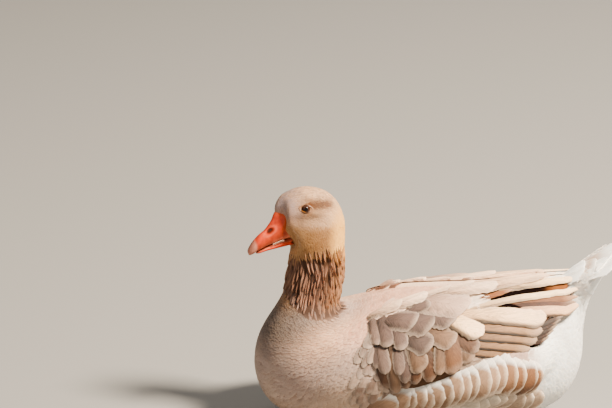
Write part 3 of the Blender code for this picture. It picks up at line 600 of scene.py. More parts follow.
# The markings by place, each a name and its share. The head's are laid out before the head's turn.
def headColour(points, t, angle, soft, fine):
    x, z = points[..., 0], points[..., 2]
    ex, ez = markings["eye"]
    onSide = smoothstep(np.abs(np.sin(angle)), 0.1, 0.6)
    colour = np.ones(points.shape) * np.array(plumage["crown"])
    face = smoothstep(-0.172 - x, 0.0, 0.018) * smoothstep(ez + 0.014 - z, 0.0, 0.014)
    under = bump(z, ez - 0.015 - 0.06 * (x - ex), 0.0066) * smoothstep(x, -0.196, -0.18)
    below = bump(z, ez - 0.0098 + 0.1 * (x - ex), 0.0046) * smoothstep(x, -0.212, -0.196)
    brow = bump(z, ez + 0.011 - 0.1 * (x - ex), 0.0028) * smoothstep(x, ex - 0.01, ex)
    stripe = bump(z, ez + 0.0034 + 0.13 * (x - ex), 0.0068) * smoothstep(x, ex - 0.002, ex + 0.008)
    grey = smoothstep(-0.178 - x, 0.0, 0.034) * smoothstep(z, 0.29, 0.314)
    for name, share in (
        ("cheek", smoothstep(ez - 0.017 - z + 0.003 * soft, 0.0, 0.012)),
        ("face", 0.9 * face * smoothstep(z, ez - 0.034, ez - 0.02)),
        ("underEye", 0.85 * under * smoothstep(-0.138 - x, 0.0, 0.02)),
        ("belowEye", 0.95 * below * smoothstep(-0.15 - x, 0.0, 0.02)),
        ("eyeStripe", 0.5 * brow * smoothstep(ex + 0.026 - x, 0.0, 0.014) * onSide),
        ("eyeStripe", 1.15 * stripe * onSide * smoothstep(-0.136 - x, 0.0, 0.018)),
        ("foreheadGrey", 0.92 * grey * (0.85 + 0.3 * fine)),
    ):
        colour = towards(colour, name, share)
    # painted light: the face in front of the eye is made paler, where it faces away from the lamps and lies in
    # shade
    lit = smoothstep(-0.188 - x, 0.0, 0.012) * smoothstep(0.334 - z, 0.0, 0.02)
    # painted sunlight, in part: the nape is drawn towards a bright orange, as the sun lights the back of the head
    nape = smoothstep(x, -0.154, -0.134) * smoothstep(0.326 - z, 0.0, 0.03)
    colour = towards(colour * (1.0 + 0.6 * lit)[..., None], "nape", 0.85 * nape)
    dashes = waves(points * np.array([0.4, 3.0, 3.0]), 0.008, 23)
    colour = colour * (1.0 - 0.34 * np.clip(dashes, -1.0, 1.0) * smoothstep(z, ez + 0.004, ez + 0.014))[..., None]
    chin = smoothstep(0.296 - z, 0.0, 0.016) * smoothstep(-0.176 - x, 0.0, 0.02)
    throat = np.maximum(0.9 * chin, 0.5 * smoothstep(0.262 - z, 0.0, 0.014))
    return towards(colour, "throat", throat * smoothstep(9.0 - t, 0.0, 1.2))


def trunkColour(points, t, angle, soft):
    x, z = points[..., 0], points[..., 2]
    colour = np.ones(points.shape) * np.array(plumage["breast"])
    colour = towards(colour, "breastWarm", 0.6 * smoothstep(0.12 - z, 0.0, 0.09) + 0.3 * soft)
    shaded = smoothstep(z, 0.1, 0.15) * smoothstep(-0.118 - x, 0.0, 0.046)
    colour = colour * (1.0 - 0.77 * shaded)[..., None]
    # painted sunlight, in part: a bright band along the upper sides at the shoulder
    upperSide = bump(angle - np.pi, np.sign(angle - np.pi) * 2.15, 0.62)
    colour = towards(colour, "sunlitShoulder", 0.85 * bump(t, 14.6, 1.5) * upperSide)
    upper = smoothstep(t, 13.5, 16.0) * smoothstep(np.cos(angle), 0.2, 0.7)
    mottle = np.clip(waves(points, 0.016, 41), -1.0, 1.0)
    colour = towards(colour, "back", upper) * (1.0 - 0.16 * upper * mottle)[..., None]
    colour = towards(colour, "flank", 0.9 * smoothstep(t, 16.0, 19.0) * smoothstep(-np.cos(angle), -0.4, 0.2))
    colour = towards(colour, "belly", smoothstep(0.03 - z, 0.0, 0.022))
    rear = smoothstep(x, 0.112, 0.146) * smoothstep(0.23 - z, 0.0, 0.03)
    colour = towards(colour, "white", rear + smoothstep(t, 27.5, 29.5))
    sx, sz = markings["streakCentre"]
    streak = waves(np.stack([np.arctan2(z - sz, x - sx)] * 3, axis=-1), 0.28, 9)
    far = np.hypot(x - sx, z - sz)
    lower = smoothstep(sz - z, -0.01, 0.02) * smoothstep(0.16 - far, 0.0, 0.06) * smoothstep(far, 0.02, 0.05)
    colour = colour * (1.0 - 0.16 * lower * streak)[..., None]
    ripple = (
        waves(points * np.array([0.3, 0.3, 2.0]), 0.02, 47) + waves(points * np.array([0.2, 0.2, 1.0]), 0.0065, 48)
    )
    return colour * (1.0 - 0.1 * smoothstep(18.0 - t, 0.0, 3.0) * np.clip(ripple, -1.5, 1.5))[..., None]


def plumageColour(points, t, angle):
    soft = waves(points, 0.05, 3)
    fine = waves(points, 0.012, 5)
    share = smoothstep(t, 9.5, 12.0)[..., None]
    colour = (
        headColour(points, t, angle, soft, fine) * (1.0 - share) + trunkColour(points, t, angle, soft) * share
    )
    return np.clip(colour * (1.0 + 0.05 * fine + 0.05 * soft)[..., None], 0.004, 0.96)


skinShape = {
    "alongEvery": 4, "roundEvery": 2, "floor": 0.0012,
    "stations": (0.0, 6.4, 8.0, 11.8, 13.5, 33.0),
    "depths": (0.0006, 0.0006, 0.0036, 0.0036, 0.0016, 0.0016),     # how far the skin lies under the solids
}


def coatDepth(t):
    return np.interp(t, skinShape["stations"], skinShape["depths"])


def makeSkin():
    every = (slice(None, None, skinShape["alongEvery"]), slice(None, None, skinShape["roundEvery"]))
    t = np.linspace(0.0, tailEnd, bodyGrid["alongSteps"])[every[0], None]
    points = body["grid"][every] - body["normal"][every] * coatDepth(t)[..., None]
    points[..., 2] = np.maximum(skinShape["floor"], points[..., 2])
    angle = turns(points.shape[1])[None, :]
    colour = plumageColour(points, t + 0.0 * angle, angle + 0.0 * t)
    begin = 6.65 + 0.65 * (1.0 + np.cos(angle))
    # painted shade: where the furrows between the neck's locks show the skin, it is darkened to the groove shade
    # colour
    furrows = smoothstep(t - begin, 0.0, 0.8) * smoothstep(lockEnd(angle) - t, -0.3, 0.5)
    # painted shade: the whole skin is also made a little darker, for the shade between the feathers over it
    colour = towards(colour * 0.94, "neckGrooveShade", 0.92 * furrows)
    mesh = closedLoft("skin", points, colour, True)
    nodes = ("head", "neck", "torso", "flank_left", "flank_right", "tail")
    addPiece(mesh, skinMaterial("downySkin"), "pale_feathers", *nodes)


makeSkin()
print("skin made")


# A closed feather 1 wide and 1 long: its root at the origin, its tip at +Y, its outer side +Z.
def templateObject(name, points, faces):
    mesh = bpy.data.meshes.new(name)
    mesh.from_pydata(points, [], faces)
    outwardFaces(mesh, triangles=True)
    layer = mesh.uv_layers.new(name="vane")
    for loop in mesh.loops:
        place = mesh.vertices[loop.vertex_index].co
        layer.data[loop.index].uv = (0.5 + place.x, place.y)
    mesh.shade_smooth()
    made = bpy.data.objects.new(name, mesh)
    bpy.context.scene.collection.objects.link(made)
    return made


def stackFaces(levels, sides):      # faces of levels of points that end in one tip
    faces = [tuple(range(sides))]
    for i in range(0, sides * (levels - 1), sides):
        faces += [
            (i + j, i + (j + 1) % sides, i + sides + (j + 1) % sides, i + sides + j) for j in range(sides)
        ]
    last = sides * (levels - 1)
    return faces + [(last + j, last + (j + 1) % sides, last + sides) for j in range(sides)]


def ridgedFeather(name, rows, tipHeight, top, low, path):
    points = []
    for y, half, height in rows:
        x = path(y)
        points += [(x - half, y, height), (x, y, height + top), (x + half, y, height), (x, y, height - low)]
    points.append((path(1.0), 1.0, tipHeight))
    return templateObject(name, points, stackFaces(len(rows), 4))


def frayedFeather(seed):        # broad and soft, its tip parted into barbs
    source = random.Random(seed)
    points = []
    for y, half, height in ((0.0, 0.22, -0.85), (0.36, 0.44, -0.35)):
        points += [(-half, y, height), (0.0, y, height + 0.28), (half, y, height), (0.0, y, height - 0.25)]
    faces = stackFaces(2, 4)[:5]
    spots = 6
    tops = []
    lows = []
    for i in range(spots):
        share = i / (spots - 1.0)
        arch = math.sin(math.pi * share)
        x = (share - 0.5) * 0.98
        height = 0.05 + 0.22 * arch
        tops.append(len(points))
        points.append((x, 0.66 + 0.1 * arch, height))
        lows.append(len(points) if 0 < i < spots - 1 else tops[-1])
        if lows[-1] != tops[-1]:
            points.append((x, 0.66 + 0.1 * arch, height - 0.16))
    faces += [(5, 4, tops[0]), (7, 4, tops[0]), (5, 6, tops[-1]), (7, 6, tops[-1])]
    for i in range(spots - 1):
        share = (i + 0.5) / (spots - 1.0)
        arch = math.sin(math.pi * share)
        x = (share - 0.5) * 0.94 + source.uniform(-0.03, 0.03)
        y = 0.84 + 0.16 * arch + source.uniform(-0.05, 0.02)
        tip = len(points)
        points.append((x, y, 0.3 + 0.16 * arch + source.uniform(-0.05, 0.05)))
        for middle, row in ((5, tops), (7, lows)):
            faces += [(middle, row[i], row[i + 1]), (row[i], row[i + 1], tip)]
        faces += [(tops[j], lows[j], tip) for j in (i, i + 1) if 0 < j < spots - 1]
    return templateObject("frayedFeather" + str(seed), points, faces)


def broadFeather(seed):
    lean = random.Random(seed).uniform(-0.1, 0.1)
    rows = ((0.0, 0.26, -0.85), (0.4, 0.46, -0.3), (0.75, 0.5, 0.1), (0.93, 0.33, 0.26))
    return ridgedFeather("broadFeather" + str(seed), rows, 0.3, 0.18, 0.25, lambda y: lean * y)


def tinyFeather(seed):
    lean = random.Random(seed).uniform(-0.12, 0.12)
    points = []
    for y, half, height in ((0.0, 0.25, -0.9), (0.55, 0.5, 0.25)):
        points += [(-half + lean * y, y, height), (lean * y, y, height + 0.45), (half + lean * y, y, height)]
    return templateObject("tinyFeather" + str(seed), points + [(lean, 1.0, 0.5)], stackFaces(2, 3))


def pointedLock(seed):          # a narrow wavy ridge of feathers stuck together
    source = random.Random(seed)
    phase = source.uniform(0.0, 6.28)
    sway = source.uniform(0.2, 0.42) * source.choice((-1.0, 1.0))
    rows = ((0.0, 0.3, -1.1), (0.22, 0.46, -0.4), (0.45, 0.5, 0.0), (0.66, 0.4, 0.3), (0.84, 0.24, 0.47))
    name = "pointedLock" + str(seed)
    return ridgedFeather(name, rows, 0.62, 0.67, 0.35, lambda y: sway * math.sin(phase + 4.2 * y) * y)


def combTooth(index):           # a blunt wedge, wider at its root
    points = [(x, 0.0, z) for x, z in ((-0.5, -0.5), (0.5, -0.5), (0.5, 0.5), (-0.5, 0.5))]
    points += [(x, 1.0, z) for x, z in ((-0.3, -0.2), (0.3, -0.2), (0.3, 0.2), (-0.3, 0.2))]
    return templateObject("combTooth" + str(index), points, stackFaces(2, 4)[:5] + [(4, 5, 6, 7)])


templates = {
    "broad": [broadFeather(seed) for seed in (9, 10, 11)],
    "frayed": [frayedFeather(seed) for seed in (0, 1, 2)],
    "tiny": [tinyFeather(seed) for seed in (0, 1, 2)],
    "lock": [pointedLock(seed) for seed in (4, 5, 6)],
    "tooth": [combTooth(index) for index in (0, 1, 2)],
}


coatInputs = (
    ("Roots", "Geometry", None), ("Feather A", "Object", None), ("Feather B", "Object", None),
    ("Feather C", "Object", None), ("Feather Size", "Float", 1.0), ("Bake Patch", "Float", 0.003),
    ("Finish", "Material", None),
)


# Sets one of three feathers on each root, turned by its stored directions.
def makeCoatTree():
    tree = bpy.data.node_groups.new("coatOfFeathers", "GeometryNodeTree")
    for label, kind, value in coatInputs:
        socket = tree.interface.new_socket(name=label, in_out="INPUT", socket_type="NodeSocket" + kind)
        if value is not None:
            socket.default_value = value
    tree.interface.new_socket(name="Coat", in_out="OUTPUT", socket_type="NodeSocketGeometry")
    given = tree.nodes.new("NodeGroupInput").outputs
    put = tree.nodes.new("NodeGroupOutput").inputs

    def stored(name, kind="FLOAT_VECTOR"):
        made = addNode(tree, "GeometryNodeInputNamedAttribute", {"Name": name}, data_type=kind)
        return made.outputs["Attribute"]

    def scaled(vector, factor):
        values = {0: vector, "Scale": factor}
        return addNode(tree, "ShaderNodeVectorMath", values, operation="SCALE").outputs[0]

    choices = tree.nodes.new("GeometryNodeJoinGeometry")
    for label in ("Feather C", "Feather B", "Feather A"):       # the last one joined is number 0
        info = addNode(tree, "GeometryNodeObjectInfo", {"Object": given[label]})
        single = addNode(tree, "GeometryNodeGeometryToInstance", {"Geometry": info.outputs["Geometry"]})
        tree.links.new(single.outputs[0], choices.inputs[0])
    axes = {"Primary Axis": stored("pointing"), "Secondary Axis": stored("outward")}
    turn = addNode(tree, "FunctionNodeAxesToRotation", axes, primary_axis="Y", secondary_axis="Z")
    placed = addNode(tree, "GeometryNodeInstanceOnPoints", {
        "Points": given["Roots"], "Instance": choices.outputs[0], "Pick Instance": True,
        "Instance Index": stored("kind", "INT"), "Rotation": turn.outputs[0],
        "Scale": scaled(stored("size"), given["Feather Size"]),
    })
    real = addNode(tree, "GeometryNodeRealizeInstances", {"Geometry": placed.outputs[0]})
    middle = {0: stored("vane"), 1: (0.5, 0.5, 0.0)}
    local = addNode(tree, "ShaderNodeVectorMath", middle, operation="SUBTRACT").outputs[0]
    values = {0: scaled(local, given["Bake Patch"]), 1: stored("spot")}
    spot = addNode(tree, "ShaderNodeVectorMath", values, operation="ADD").outputs[0]
    values = {"Geometry": real.outputs[0], "Name": "OFBake", "Value": spot}
    mapped = addNode(tree, "GeometryNodeStoreNamedAttribute", values, data_type="FLOAT2", domain="CORNER")
    painted = addNode(
        tree, "GeometryNodeSetMaterial", {"Geometry": mapped.outputs[0], "Material": given["Finish"]}
    )
    tree.links.new(painted.outputs[0], put[0])
    return tree


coatTree = makeCoatTree()


# Turns root points with their directions, sizes, tints and bake spots into one mesh of feathers.
def growFeathers(name, kindName, roots, finish, slotName, *nodes):
    count = len(roots["place"])
    points = bpy.data.meshes.new(name + "Roots")
    points.vertices.add(count)
    points.vertices.foreach_set("co", roots["place"].astype(np.float32).ravel())
    for key in ("pointing", "outward", "size", "spot"):
        attribute = points.attributes.new(key, "FLOAT_VECTOR", "POINT")
        attribute.data.foreach_set("vector", roots[key].astype(np.float32).ravel())
    setTint(points, roots["tint"])
    kinds = (np.arange(count) * 7 % 3).astype(np.int32)
    points.attributes.new("kind", "INT", "POINT").data.foreach_set("value", kinds)
    holder = bpy.data.objects.new(name + "Roots", points)
    bpy.context.scene.collection.objects.link(holder)
    modifier = holder.modifiers.new("coat", "NODES")
    modifier.node_group = coatTree
    values = {label: value for label, _, value in coatInputs if value is not None}
    values.update(zip(("Feather A", "Feather B", "Feather C"), templates[kindName]), Finish=finish)
    for item in coatTree.interface.items_tree:
        if item.in_out == "INPUT" and item.name in values:
            modifier[item.identifier] = values[item.name]
    bpy.context.view_layer.update()
    graph = bpy.context.evaluated_depsgraph_get()
    mesh = bpy.data.meshes.new_from_object(holder.evaluated_get(graph))
    mesh.name = name
    holder.modifiers.clear()
    bpy.data.objects.remove(holder)
    for key in ("pointing", "outward", "size", "spot", "kind"):
        if key in mesh.attributes:
            mesh.attributes.remove(mesh.attributes[key])
    places = np.zeros(len(mesh.vertices) * 3, dtype=np.float32)
    mesh.vertices.foreach_get("co", places)
    places[2::3] = np.maximum(coat["floor"], places[2::3])
    mesh.vertices.foreach_set("co", places)
    mesh.update()
    addPiece(mesh, None, slotName, *nodes, sharpAngle=55)
    print(name, count, "feathers,", len(mesh.polygons), "triangles")


# The folded wing's hull, as the solids have it. Each row: x, half width, middle z, half height, lower edge z,
# inner y, depth.
wingHull = np.array([
    (-0.12, 0.088, 0.11, 0.063, 0.114, 0.066, 0.01),
    (-0.09, 0.114, 0.109, 0.0735, 0.086, 0.056, 0.022),
    (-0.05, 0.128, 0.109, 0.0815, 0.08, 0.038, 0.026),
    (0.0, 0.131, 0.111, 0.0855, 0.096, 0.02, 0.026),
    (0.05, 0.125, 0.115, 0.087, 0.116, 0.004, 0.026),
    (0.1, 0.11, 0.121, 0.0865, 0.128, 0.0015, 0.024),
    (0.145, 0.088, 0.13, 0.0815, 0.136, 0.002, 0.016),
    (0.18, 0.064, 0.142, 0.0715, 0.158, 0.003, 0.009),
    (0.205, 0.042, 0.156, 0.06, 0.182, 0.004, 0.006),
])
hullPower = 0.92


def hullRow(x):
    xs = wingHull[:, 0]
    last = len(xs) - 1
    station = np.interp(x, xs, np.arange(len(xs)))
    station = station + np.minimum(0.0, (x - xs[0]) / (xs[1] - xs[0]))
    station = station + np.maximum(0.0, (x - xs[last]) / (xs[last] - xs[last - 1]))
    return along(wingHull, np.clip(station, -0.3, last + 0.3))


def hullAngles(row):
    first = np.arcsin(np.minimum(1.0, (row[..., 5] / row[..., 1]) ** (1.0 / hullPower)))
    last = np.arccos(np.clip((row[..., 4] - row[..., 2]) / row[..., 3], -1.0, 1.0))
    return first, last


# A point on the folded wing: v runs from 0, next to the back's middle, to 1, its lower edge.
def hullPoint(x, v, side, inset=0.0):
    row = hullRow(np.asarray(x, dtype=float))
    first, last = hullAngles(row)
    angle = np.minimum(3.0, first + (last - first) * np.maximum(0.012, v))
    y = (row[..., 1] - inset) * np.sin(angle) ** hullPower
    z = row[..., 2] + (row[..., 3] - inset) * np.cos(angle)
    return np.stack([x + 0.0 * z, side * np.maximum(y, row[..., 5]), z], axis=-1)


# True where a point of the trunk lies well under a folded wing.
def underWing(points):
    x = points[..., 0]
    row = hullRow(np.clip(x, -0.12, 0.205))
    first, last = hullAngles(row)
    y = np.abs(points[..., 1]) / row[..., 1]
    z = (points[..., 2] - row[..., 2]) / row[..., 3]
    angle = np.arctan2(y, z)
    share = (angle - first) / (last - first)
    return (x > -0.098) & (x < 0.165) & (share > 0.06) & (share < 0.86) & (np.hypot(y, z) < 1.0)


coat = {
    # station, spacing, length, width, rise, all in metres
    "table": np.array([
        (0.0, 0.0015, 0.004, 0.0022, 0.0003),
        (1.5, 0.0017, 0.0052, 0.0026, 0.00042),
        (4.0, 0.002, 0.007, 0.0034, 0.00055),
        (7.2, 0.0023, 0.008, 0.0044, 0.0008),
        (9.0, 0.0027, 0.0085, 0.0064, 0.0008),
        (11.5, 0.003, 0.009, 0.0086, 0.00085),
        (14.0, 0.0034, 0.0105, 0.011, 0.001),
        (17.0, 0.004, 0.013, 0.013, 0.0011),
        (24.0, 0.0048, 0.0165, 0.016, 0.0011),
        (33.0, 0.0046, 0.0165, 0.015, 0.0009),
    ]),
    "floor": 0.0004,
    "crowding": 3.0,            # tries for each feather that fits
    "tipSteps": 4,
    "yaw": 0.09,                # radians, how unevenly the feathers lie
    "eyeClear": 0.0088,         # bare ring round the eye's centre
    "napeGrowth": (0.6, 0.3, 1.1),
}
body["speedT"] = (
    np.linalg.norm(np.gradient(body["grid"], axis=0), axis=-1, keepdims=True)
    * (bodyGrid["alongSteps"] - 1) / tailEnd
)
body["speedA"] = (
    np.linalg.norm(
        0.5 * (np.roll(body["grid"], -1, axis=1) - np.roll(body["grid"], 1, axis=1)), axis=-1, keepdims=True
    )
    * bodyGrid["roundSteps"] / (2.0 * np.pi)
)


def coatValue(t, column):
    return np.interp(t, coat["table"][:, 0], coat["table"][:, column])


neighbours = [(di, dj, dk) for di in (-1, 0, 1) for dj in (-1, 0, 1) for dk in (-1, 0, 1)]


def thinned(points, gaps):      # indices of points no nearer to each other than their gaps, kept in order
    cell = float(gaps.max())
    grid = {}
    kept = []
    for index, (place, gap) in enumerate(zip(points.tolist(), gaps.tolist())):
        i, j, k = [int(value // cell) for value in place]
        near = (other for di, dj, dk in neighbours for other in grid.get((i + di, j + dj, k + dk), ()))
        if all(math.dist(place, other) >= gap for other in near):
            grid.setdefault((i, j, k), []).append(place)
            kept.append(index)
    return np.array(kept)


def scatterBody(tFrom, tTo, seed, keep):        # evenly spread stations and angles on the body
    source = np.random.default_rng(seed)
    columns = bodyGrid["roundSteps"]
    t = np.linspace(0.0, tailEnd, bodyGrid["alongSteps"])
    weight = body["speedT"][..., 0] * body["speedA"][..., 0] / coatValue(t, 1)[:, None] ** 2
    weight[(t < tFrom) | (t > tTo)] = 0.0
    stepT = tailEnd / (bodyGrid["alongSteps"] - 1)
    stepA = 2.0 * np.pi / columns
    tries = int(weight.sum() * stepT * stepA * coat["crowding"])
    chosen = source.choice(weight.size, size=tries, p=(weight / weight.sum()).ravel())
    ts = t[chosen // columns] + source.uniform(-0.5, 0.5, tries) * stepT
    angles = (chosen % columns + source.uniform(-0.5, 0.5, tries)) * stepA
    ts = np.clip(ts, tFrom, tTo)
    points = bodyAt(ts, angles)
    mask = keep(points, ts, angles)
    ts, angles, points = ts[mask], angles[mask], points[mask]
    order = thinned(points, coatValue(ts, 1))
    return ts[order], angles[order] % (2.0 * np.pi)


# Roots on the skin at these stations and angles, each pointing to the spot its tip reaches.
def rootsOn(t, angle, seed, yaw=None):
    source = np.random.default_rng(seed)
    count = len(t)
    length = coatValue(t, 2) * source.uniform(0.85, 1.15, count)
    width = coatValue(t, 3) * source.uniform(0.85, 1.15, count)
    rise = coatValue(t, 4) * source.uniform(0.8, 1.2, count)
    spread = coat["yaw"] if yaw is None else 0.5 * coat["yaw"]
    lean = (0.0 if yaw is None else yaw) + source.normal(0.0, spread, count)
    place, outward = bodyAt(t, angle, "grid", "normal")
    root = place - unit(outward) * coatDepth(t)[:, None]
    tipT, tipA = t, angle
    for _ in range(coat["tipSteps"]):
        stepT, stepA = bodyAt(tipT, tipA, "speedT", "speedA")
        tipT = np.clip(tipT + length / coat["tipSteps"] * np.cos(lean) / stepT[:, 0], 0.0, tailEnd)
        tipA = tipA + length / coat["tipSteps"] * np.sin(lean) / np.maximum(0.02, stepA[:, 0])
    tip, tipOut = bodyAt(tipT, tipA, "grid", "normal")
    tip = tip - unit(tipOut) * coatDepth(tipT)[:, None]
    pointing = unit(tip - root)
    short = np.linalg.norm(tip - root, axis=-1) < 0.3 * length
    pointing[short] = unit(bodyAt(t[short], angle[short], "alongDir"))
    u = 0.02 + 0.96 * (angle % (2.0 * np.pi)) / (2.0 * np.pi)
    return {
        "place": root, "pointing": pointing, "outward": unit(outward),
        "size": np.stack([width, length, rise], axis=-1),
        "spot": np.stack([u, 0.02 + 0.96 * t / tailEnd, 0.0 * t], axis=-1),
        "tint": plumageColour(place, t, angle),
    }


def eyeDistance(points):        # seen from the side and before the head's turn
    back = turned(points, -1.0)
    return np.hypot(back[..., 0] - markings["eye"][0], back[..., 2] - markings["eye"][1])


headFinish = featherMaterial(
    "headFeathers",
    {
        "Edge Tint": (0.6, 0.42, 0.28), "Edge Strength": 0.08, "Edge Width": 0.5, "Barb Count": 6.0,
        "Root Shade": 0.05,
    },
    bump=0.1,
)
bodyFinish = featherMaterial(
    "bodyFeathers",
    {
        "Edge Tint": (0.66, 0.48, 0.36), "Edge Strength": 0.16, "Edge Width": 0.45, "Barb Count": 9.0,
        "Root Shade": 0.05,
    },
    bump=0.12,
)
# painted shade: the locks' dark edge tint, strong and wide, darkens each lock's sides as the shade in the grooves
# between them
neckFinish = featherMaterial(
    "neckLocks",
    {
        "Edge Tint": (0.04, 0.018, 0.01), "Edge Strength": 0.95, "Edge Width": 0.62, "Shaft Strength": 0.0,
        "Barb Count": 10.0, "Root Shade": 0.55,
    },
)


def headKeep(points, t, angle):
    sides = np.abs(np.sin(angle)) > 0.3
    nearEye = (eyeDistance(points) < coat["eyeClear"]) & sides
    inLocks = (t > 6.9 + 0.65 * (1.0 + np.cos(angle))) & (t < lockEnd(angle) - 0.2)
    return ~nearEye & ~inLocks


def bodyKeep(points, t, angle):
    inLocks = t < lockEnd(angle) - 0.35
    return ~underWing(points) & ~inLocks


def leanAt(points, angle):      # how far feathers point down from straight back, in radians
    x, z = points[..., 0], points[..., 2]
    hanging = bump(x, -0.085, 0.045) * smoothstep(0.135 - z, 0.0, 0.04)
    return np.where(angle < np.pi, 1.0, -1.0) * (0.12 * np.abs(np.sin(angle)) + 0.85 * hanging)


def growCoat():
    t, angle = scatterBody(0.06, 7.6, 1, headKeep)
    roots = rootsOn(t, angle, 2)
    nape = smoothstep(t, 3.6, 5.2) * smoothstep(np.cos(angle), 0.35, 0.75)
    roots["size"] = roots["size"] * (1.0 + nape[:, None] * np.array(coat["napeGrowth"]))
    growFeathers("headFeathers", "tiny", roots, headFinish, "buff_feathers", "head")
    t, angle = scatterBody(10.0, 32.9, 3, bodyKeep)
    left = angle < np.pi
    front = t < 17.5
    for name, mask, flank, seed in (
        ("breastFeathersLeft", left & front, "flank_left", 4),
        ("breastFeathersRight", ~left & front, "flank_right", 5),
        ("bodyFeathersLeft", left & ~front, "flank_left", 6),
        ("bodyFeathersRight", ~left & ~front, "flank_right", 7),
    ):
        lean = leanAt(bodyAt(t[mask], angle[mask]), angle[mask])
        roots = rootsOn(t[mask], angle[mask], seed, yaw=lean)
        growFeathers(name, "broad", roots, bodyFinish, "pale_feathers", "torso", flank)


flankPlumes = {
    "fromX": -0.05, "toX": 0.152, "step": 0.0125,
    "topPlaces": (-0.06, 0.0, 0.05, 0.1, 0.16),
    "tops": (0.08, 0.096, 0.122, 0.134, 0.122),
    # below the top, half width, lift
    "rows": ((0.029, 0.032, 0.001), (0.07, 0.024, -0.0004), (0.098, 0.02, -0.0012)),
    "length": 0.046, "blunt": 0.55, "drop": -0.1,
    "tints": ((0.33, 0.19, 0.115), (0.18, 0.1, 0.058)),
    "rearTint": (0.17, 0.066, 0.024),
}
flankFinish = featherMaterial(
    "flankPlumes",
    {
        "Edge Tint": (0.84, 0.64, 0.47), "Edge Strength": 0.55, "Edge Width": 0.34, "Shaft Strength": 0.0,
        "Barb Strength": 1.6, "Barb Count": 20.0, "Root Shade": 0.5, "Low Shade": 0.35,
    },
)


# Station and angle of the spots on one side of the trunk at these x and z.
# Station and angle, counted down its own side, of the trunk's spot at this x and z.
def trunkSpot(x, z, side):
    firstRow = 260
    columns = np.arange(1, bodyGrid["roundSteps"] // 2)
    if side > 0:
        columns = bodyGrid["roundSteps"] - columns[::-1]
    grid = body["grid"][firstRow:][:, columns]
    gap = (grid[..., 0] - x) ** 2 + (grid[..., 2] - z) ** 2
    i, j = np.unravel_index(int(np.argmin(gap)), gap.shape)
    angle = columns[j] * 2.0 * np.pi / bodyGrid["roundSteps"]
    return (firstRow + i) * tailEnd / (bodyGrid["alongSteps"] - 1.0), angle if side < 0 else 2.0 * np.pi - angle


def bodySide(side):         # the body's surface with angles counted down this side
    return lambda t, angle: bodyAt(t, angle if side < 0 else 2.0 * np.pi - angle)


def wingSide(side):
    return lambda x, v: hullPoint(x, v, side)


neckLocks = {
    "columns": 46,
    "rowStep": 0.0125,
    "length": 0.0345,
    "width": 0.006,
    "rise": 0.0046,
    "slant": 0.42,              # radians, at the foot of the neck
    "startFront": 5.8,          # stations where the locks begin
    "startBack": 7.3,
}


def growNeck():
    source = np.random.default_rng(12)
    startFront, startBack = neckLocks["startFront"], neckLocks["startBack"]
    ts = []
    angles = []
    for column in range(neckLocks["columns"]):
        middle = 2.0 * np.pi * (column + 0.5) / neckLocks["columns"]
        back = 0.5 * (1.0 + math.cos(middle))
        t = startFront + (startBack - startFront) * back + source.uniform(0.0, 0.35)
        sway = source.uniform(0.0, 6.28)
        end = float(lockEnd(np.array(middle))) - source.uniform(0.1, 1.1)
        while t < end:
            ts.append(t)
            angles.append(middle + 0.06 * math.sin(sway + 2.1 * t) + source.normal(0.0, 0.022))
            speed = float(bodyAt(np.array(t), np.array(middle), "speedT")[0])
            t += min(0.9, neckLocks["rowStep"] * source.uniform(0.75, 1.25) / speed)
    t = np.array(ts)
    angle = np.array(angles)
    count = len(t)
    end = lockEnd(angle)
    roots = rootsOn(t, angle, 13, yaw=-neckLocks["slant"] * np.sin(angle) * smoothstep(t, 8.5, 12.5))
    grow = smoothstep(t, 6.0, 7.6) * 0.45 + 0.55
    foot = 1.0 - 0.35 * smoothstep(t, end - 2.4, end - 0.5)
    fade = (1.0 - 0.75 * smoothstep(t, end - 2.4, end - 0.4)) * (1.0 - 0.35 * np.cos(angle).clip(0.0))
    roots["size"] = np.stack([
        neckLocks["width"] * source.uniform(0.75, 1.2, count) * grow,
        neckLocks["length"] * source.uniform(0.75, 1.25, count) * grow * foot,
        neckLocks["rise"] * source.uniform(0.75, 1.25, count) * grow * fade,
    ], axis=-1)
    tint = np.ones((count, 3)) * np.array(plumage["neckRidge"])
    tint = towards(tint, "napeBrown", 0.9 * smoothstep(np.cos(angle), 0.1, 0.9))
    start = startFront + (startBack - startFront) * 0.5 * (1.0 + np.cos(angle))
    tint = blended(tint, roots["tint"], 0.55 * smoothstep(0.9 - (t - start), 0.0, 0.8))
    tint = towards(tint, "neckFoot", 0.9 * smoothstep(t, end - 1.9, end - 0.5))
    roots["tint"] = tint * source.uniform(0.75, 1.25, count)[:, None]
    growFeathers("neckFeathers", "lock", roots, neckFinish, "neck_feathers", "neck")


growCoat()
growNeck()
print("coat grown")


vaneShape = {
    "rows": 27,
    "columns": 9,
    "tipRows": 10,
    "risePlaces": (0.0, 0.55, 0.9, 1.0),
    "rises": (-0.0028, -0.0003, 0.0012, 0.001),
    "camber": 0.1,             # of the half width
    "tilt": 0.0006,
    "thickness": 0.0005,
    "cell": 10,                 # bake cells to a side of the map
    "probe": 0.002,             # step of the surface's slopes
}


def surfaceFrame(surface, u, v, flip):
    step = vaneShape["probe"]
    byU = (surface(u + step, v) - surface(u - step, v)) / (2.0 * step)
    byV = (surface(u, v + step) - surface(u, v - step)) / (2.0 * step)
    return byU, byV, unit(np.cross(byU, byV)) * flip


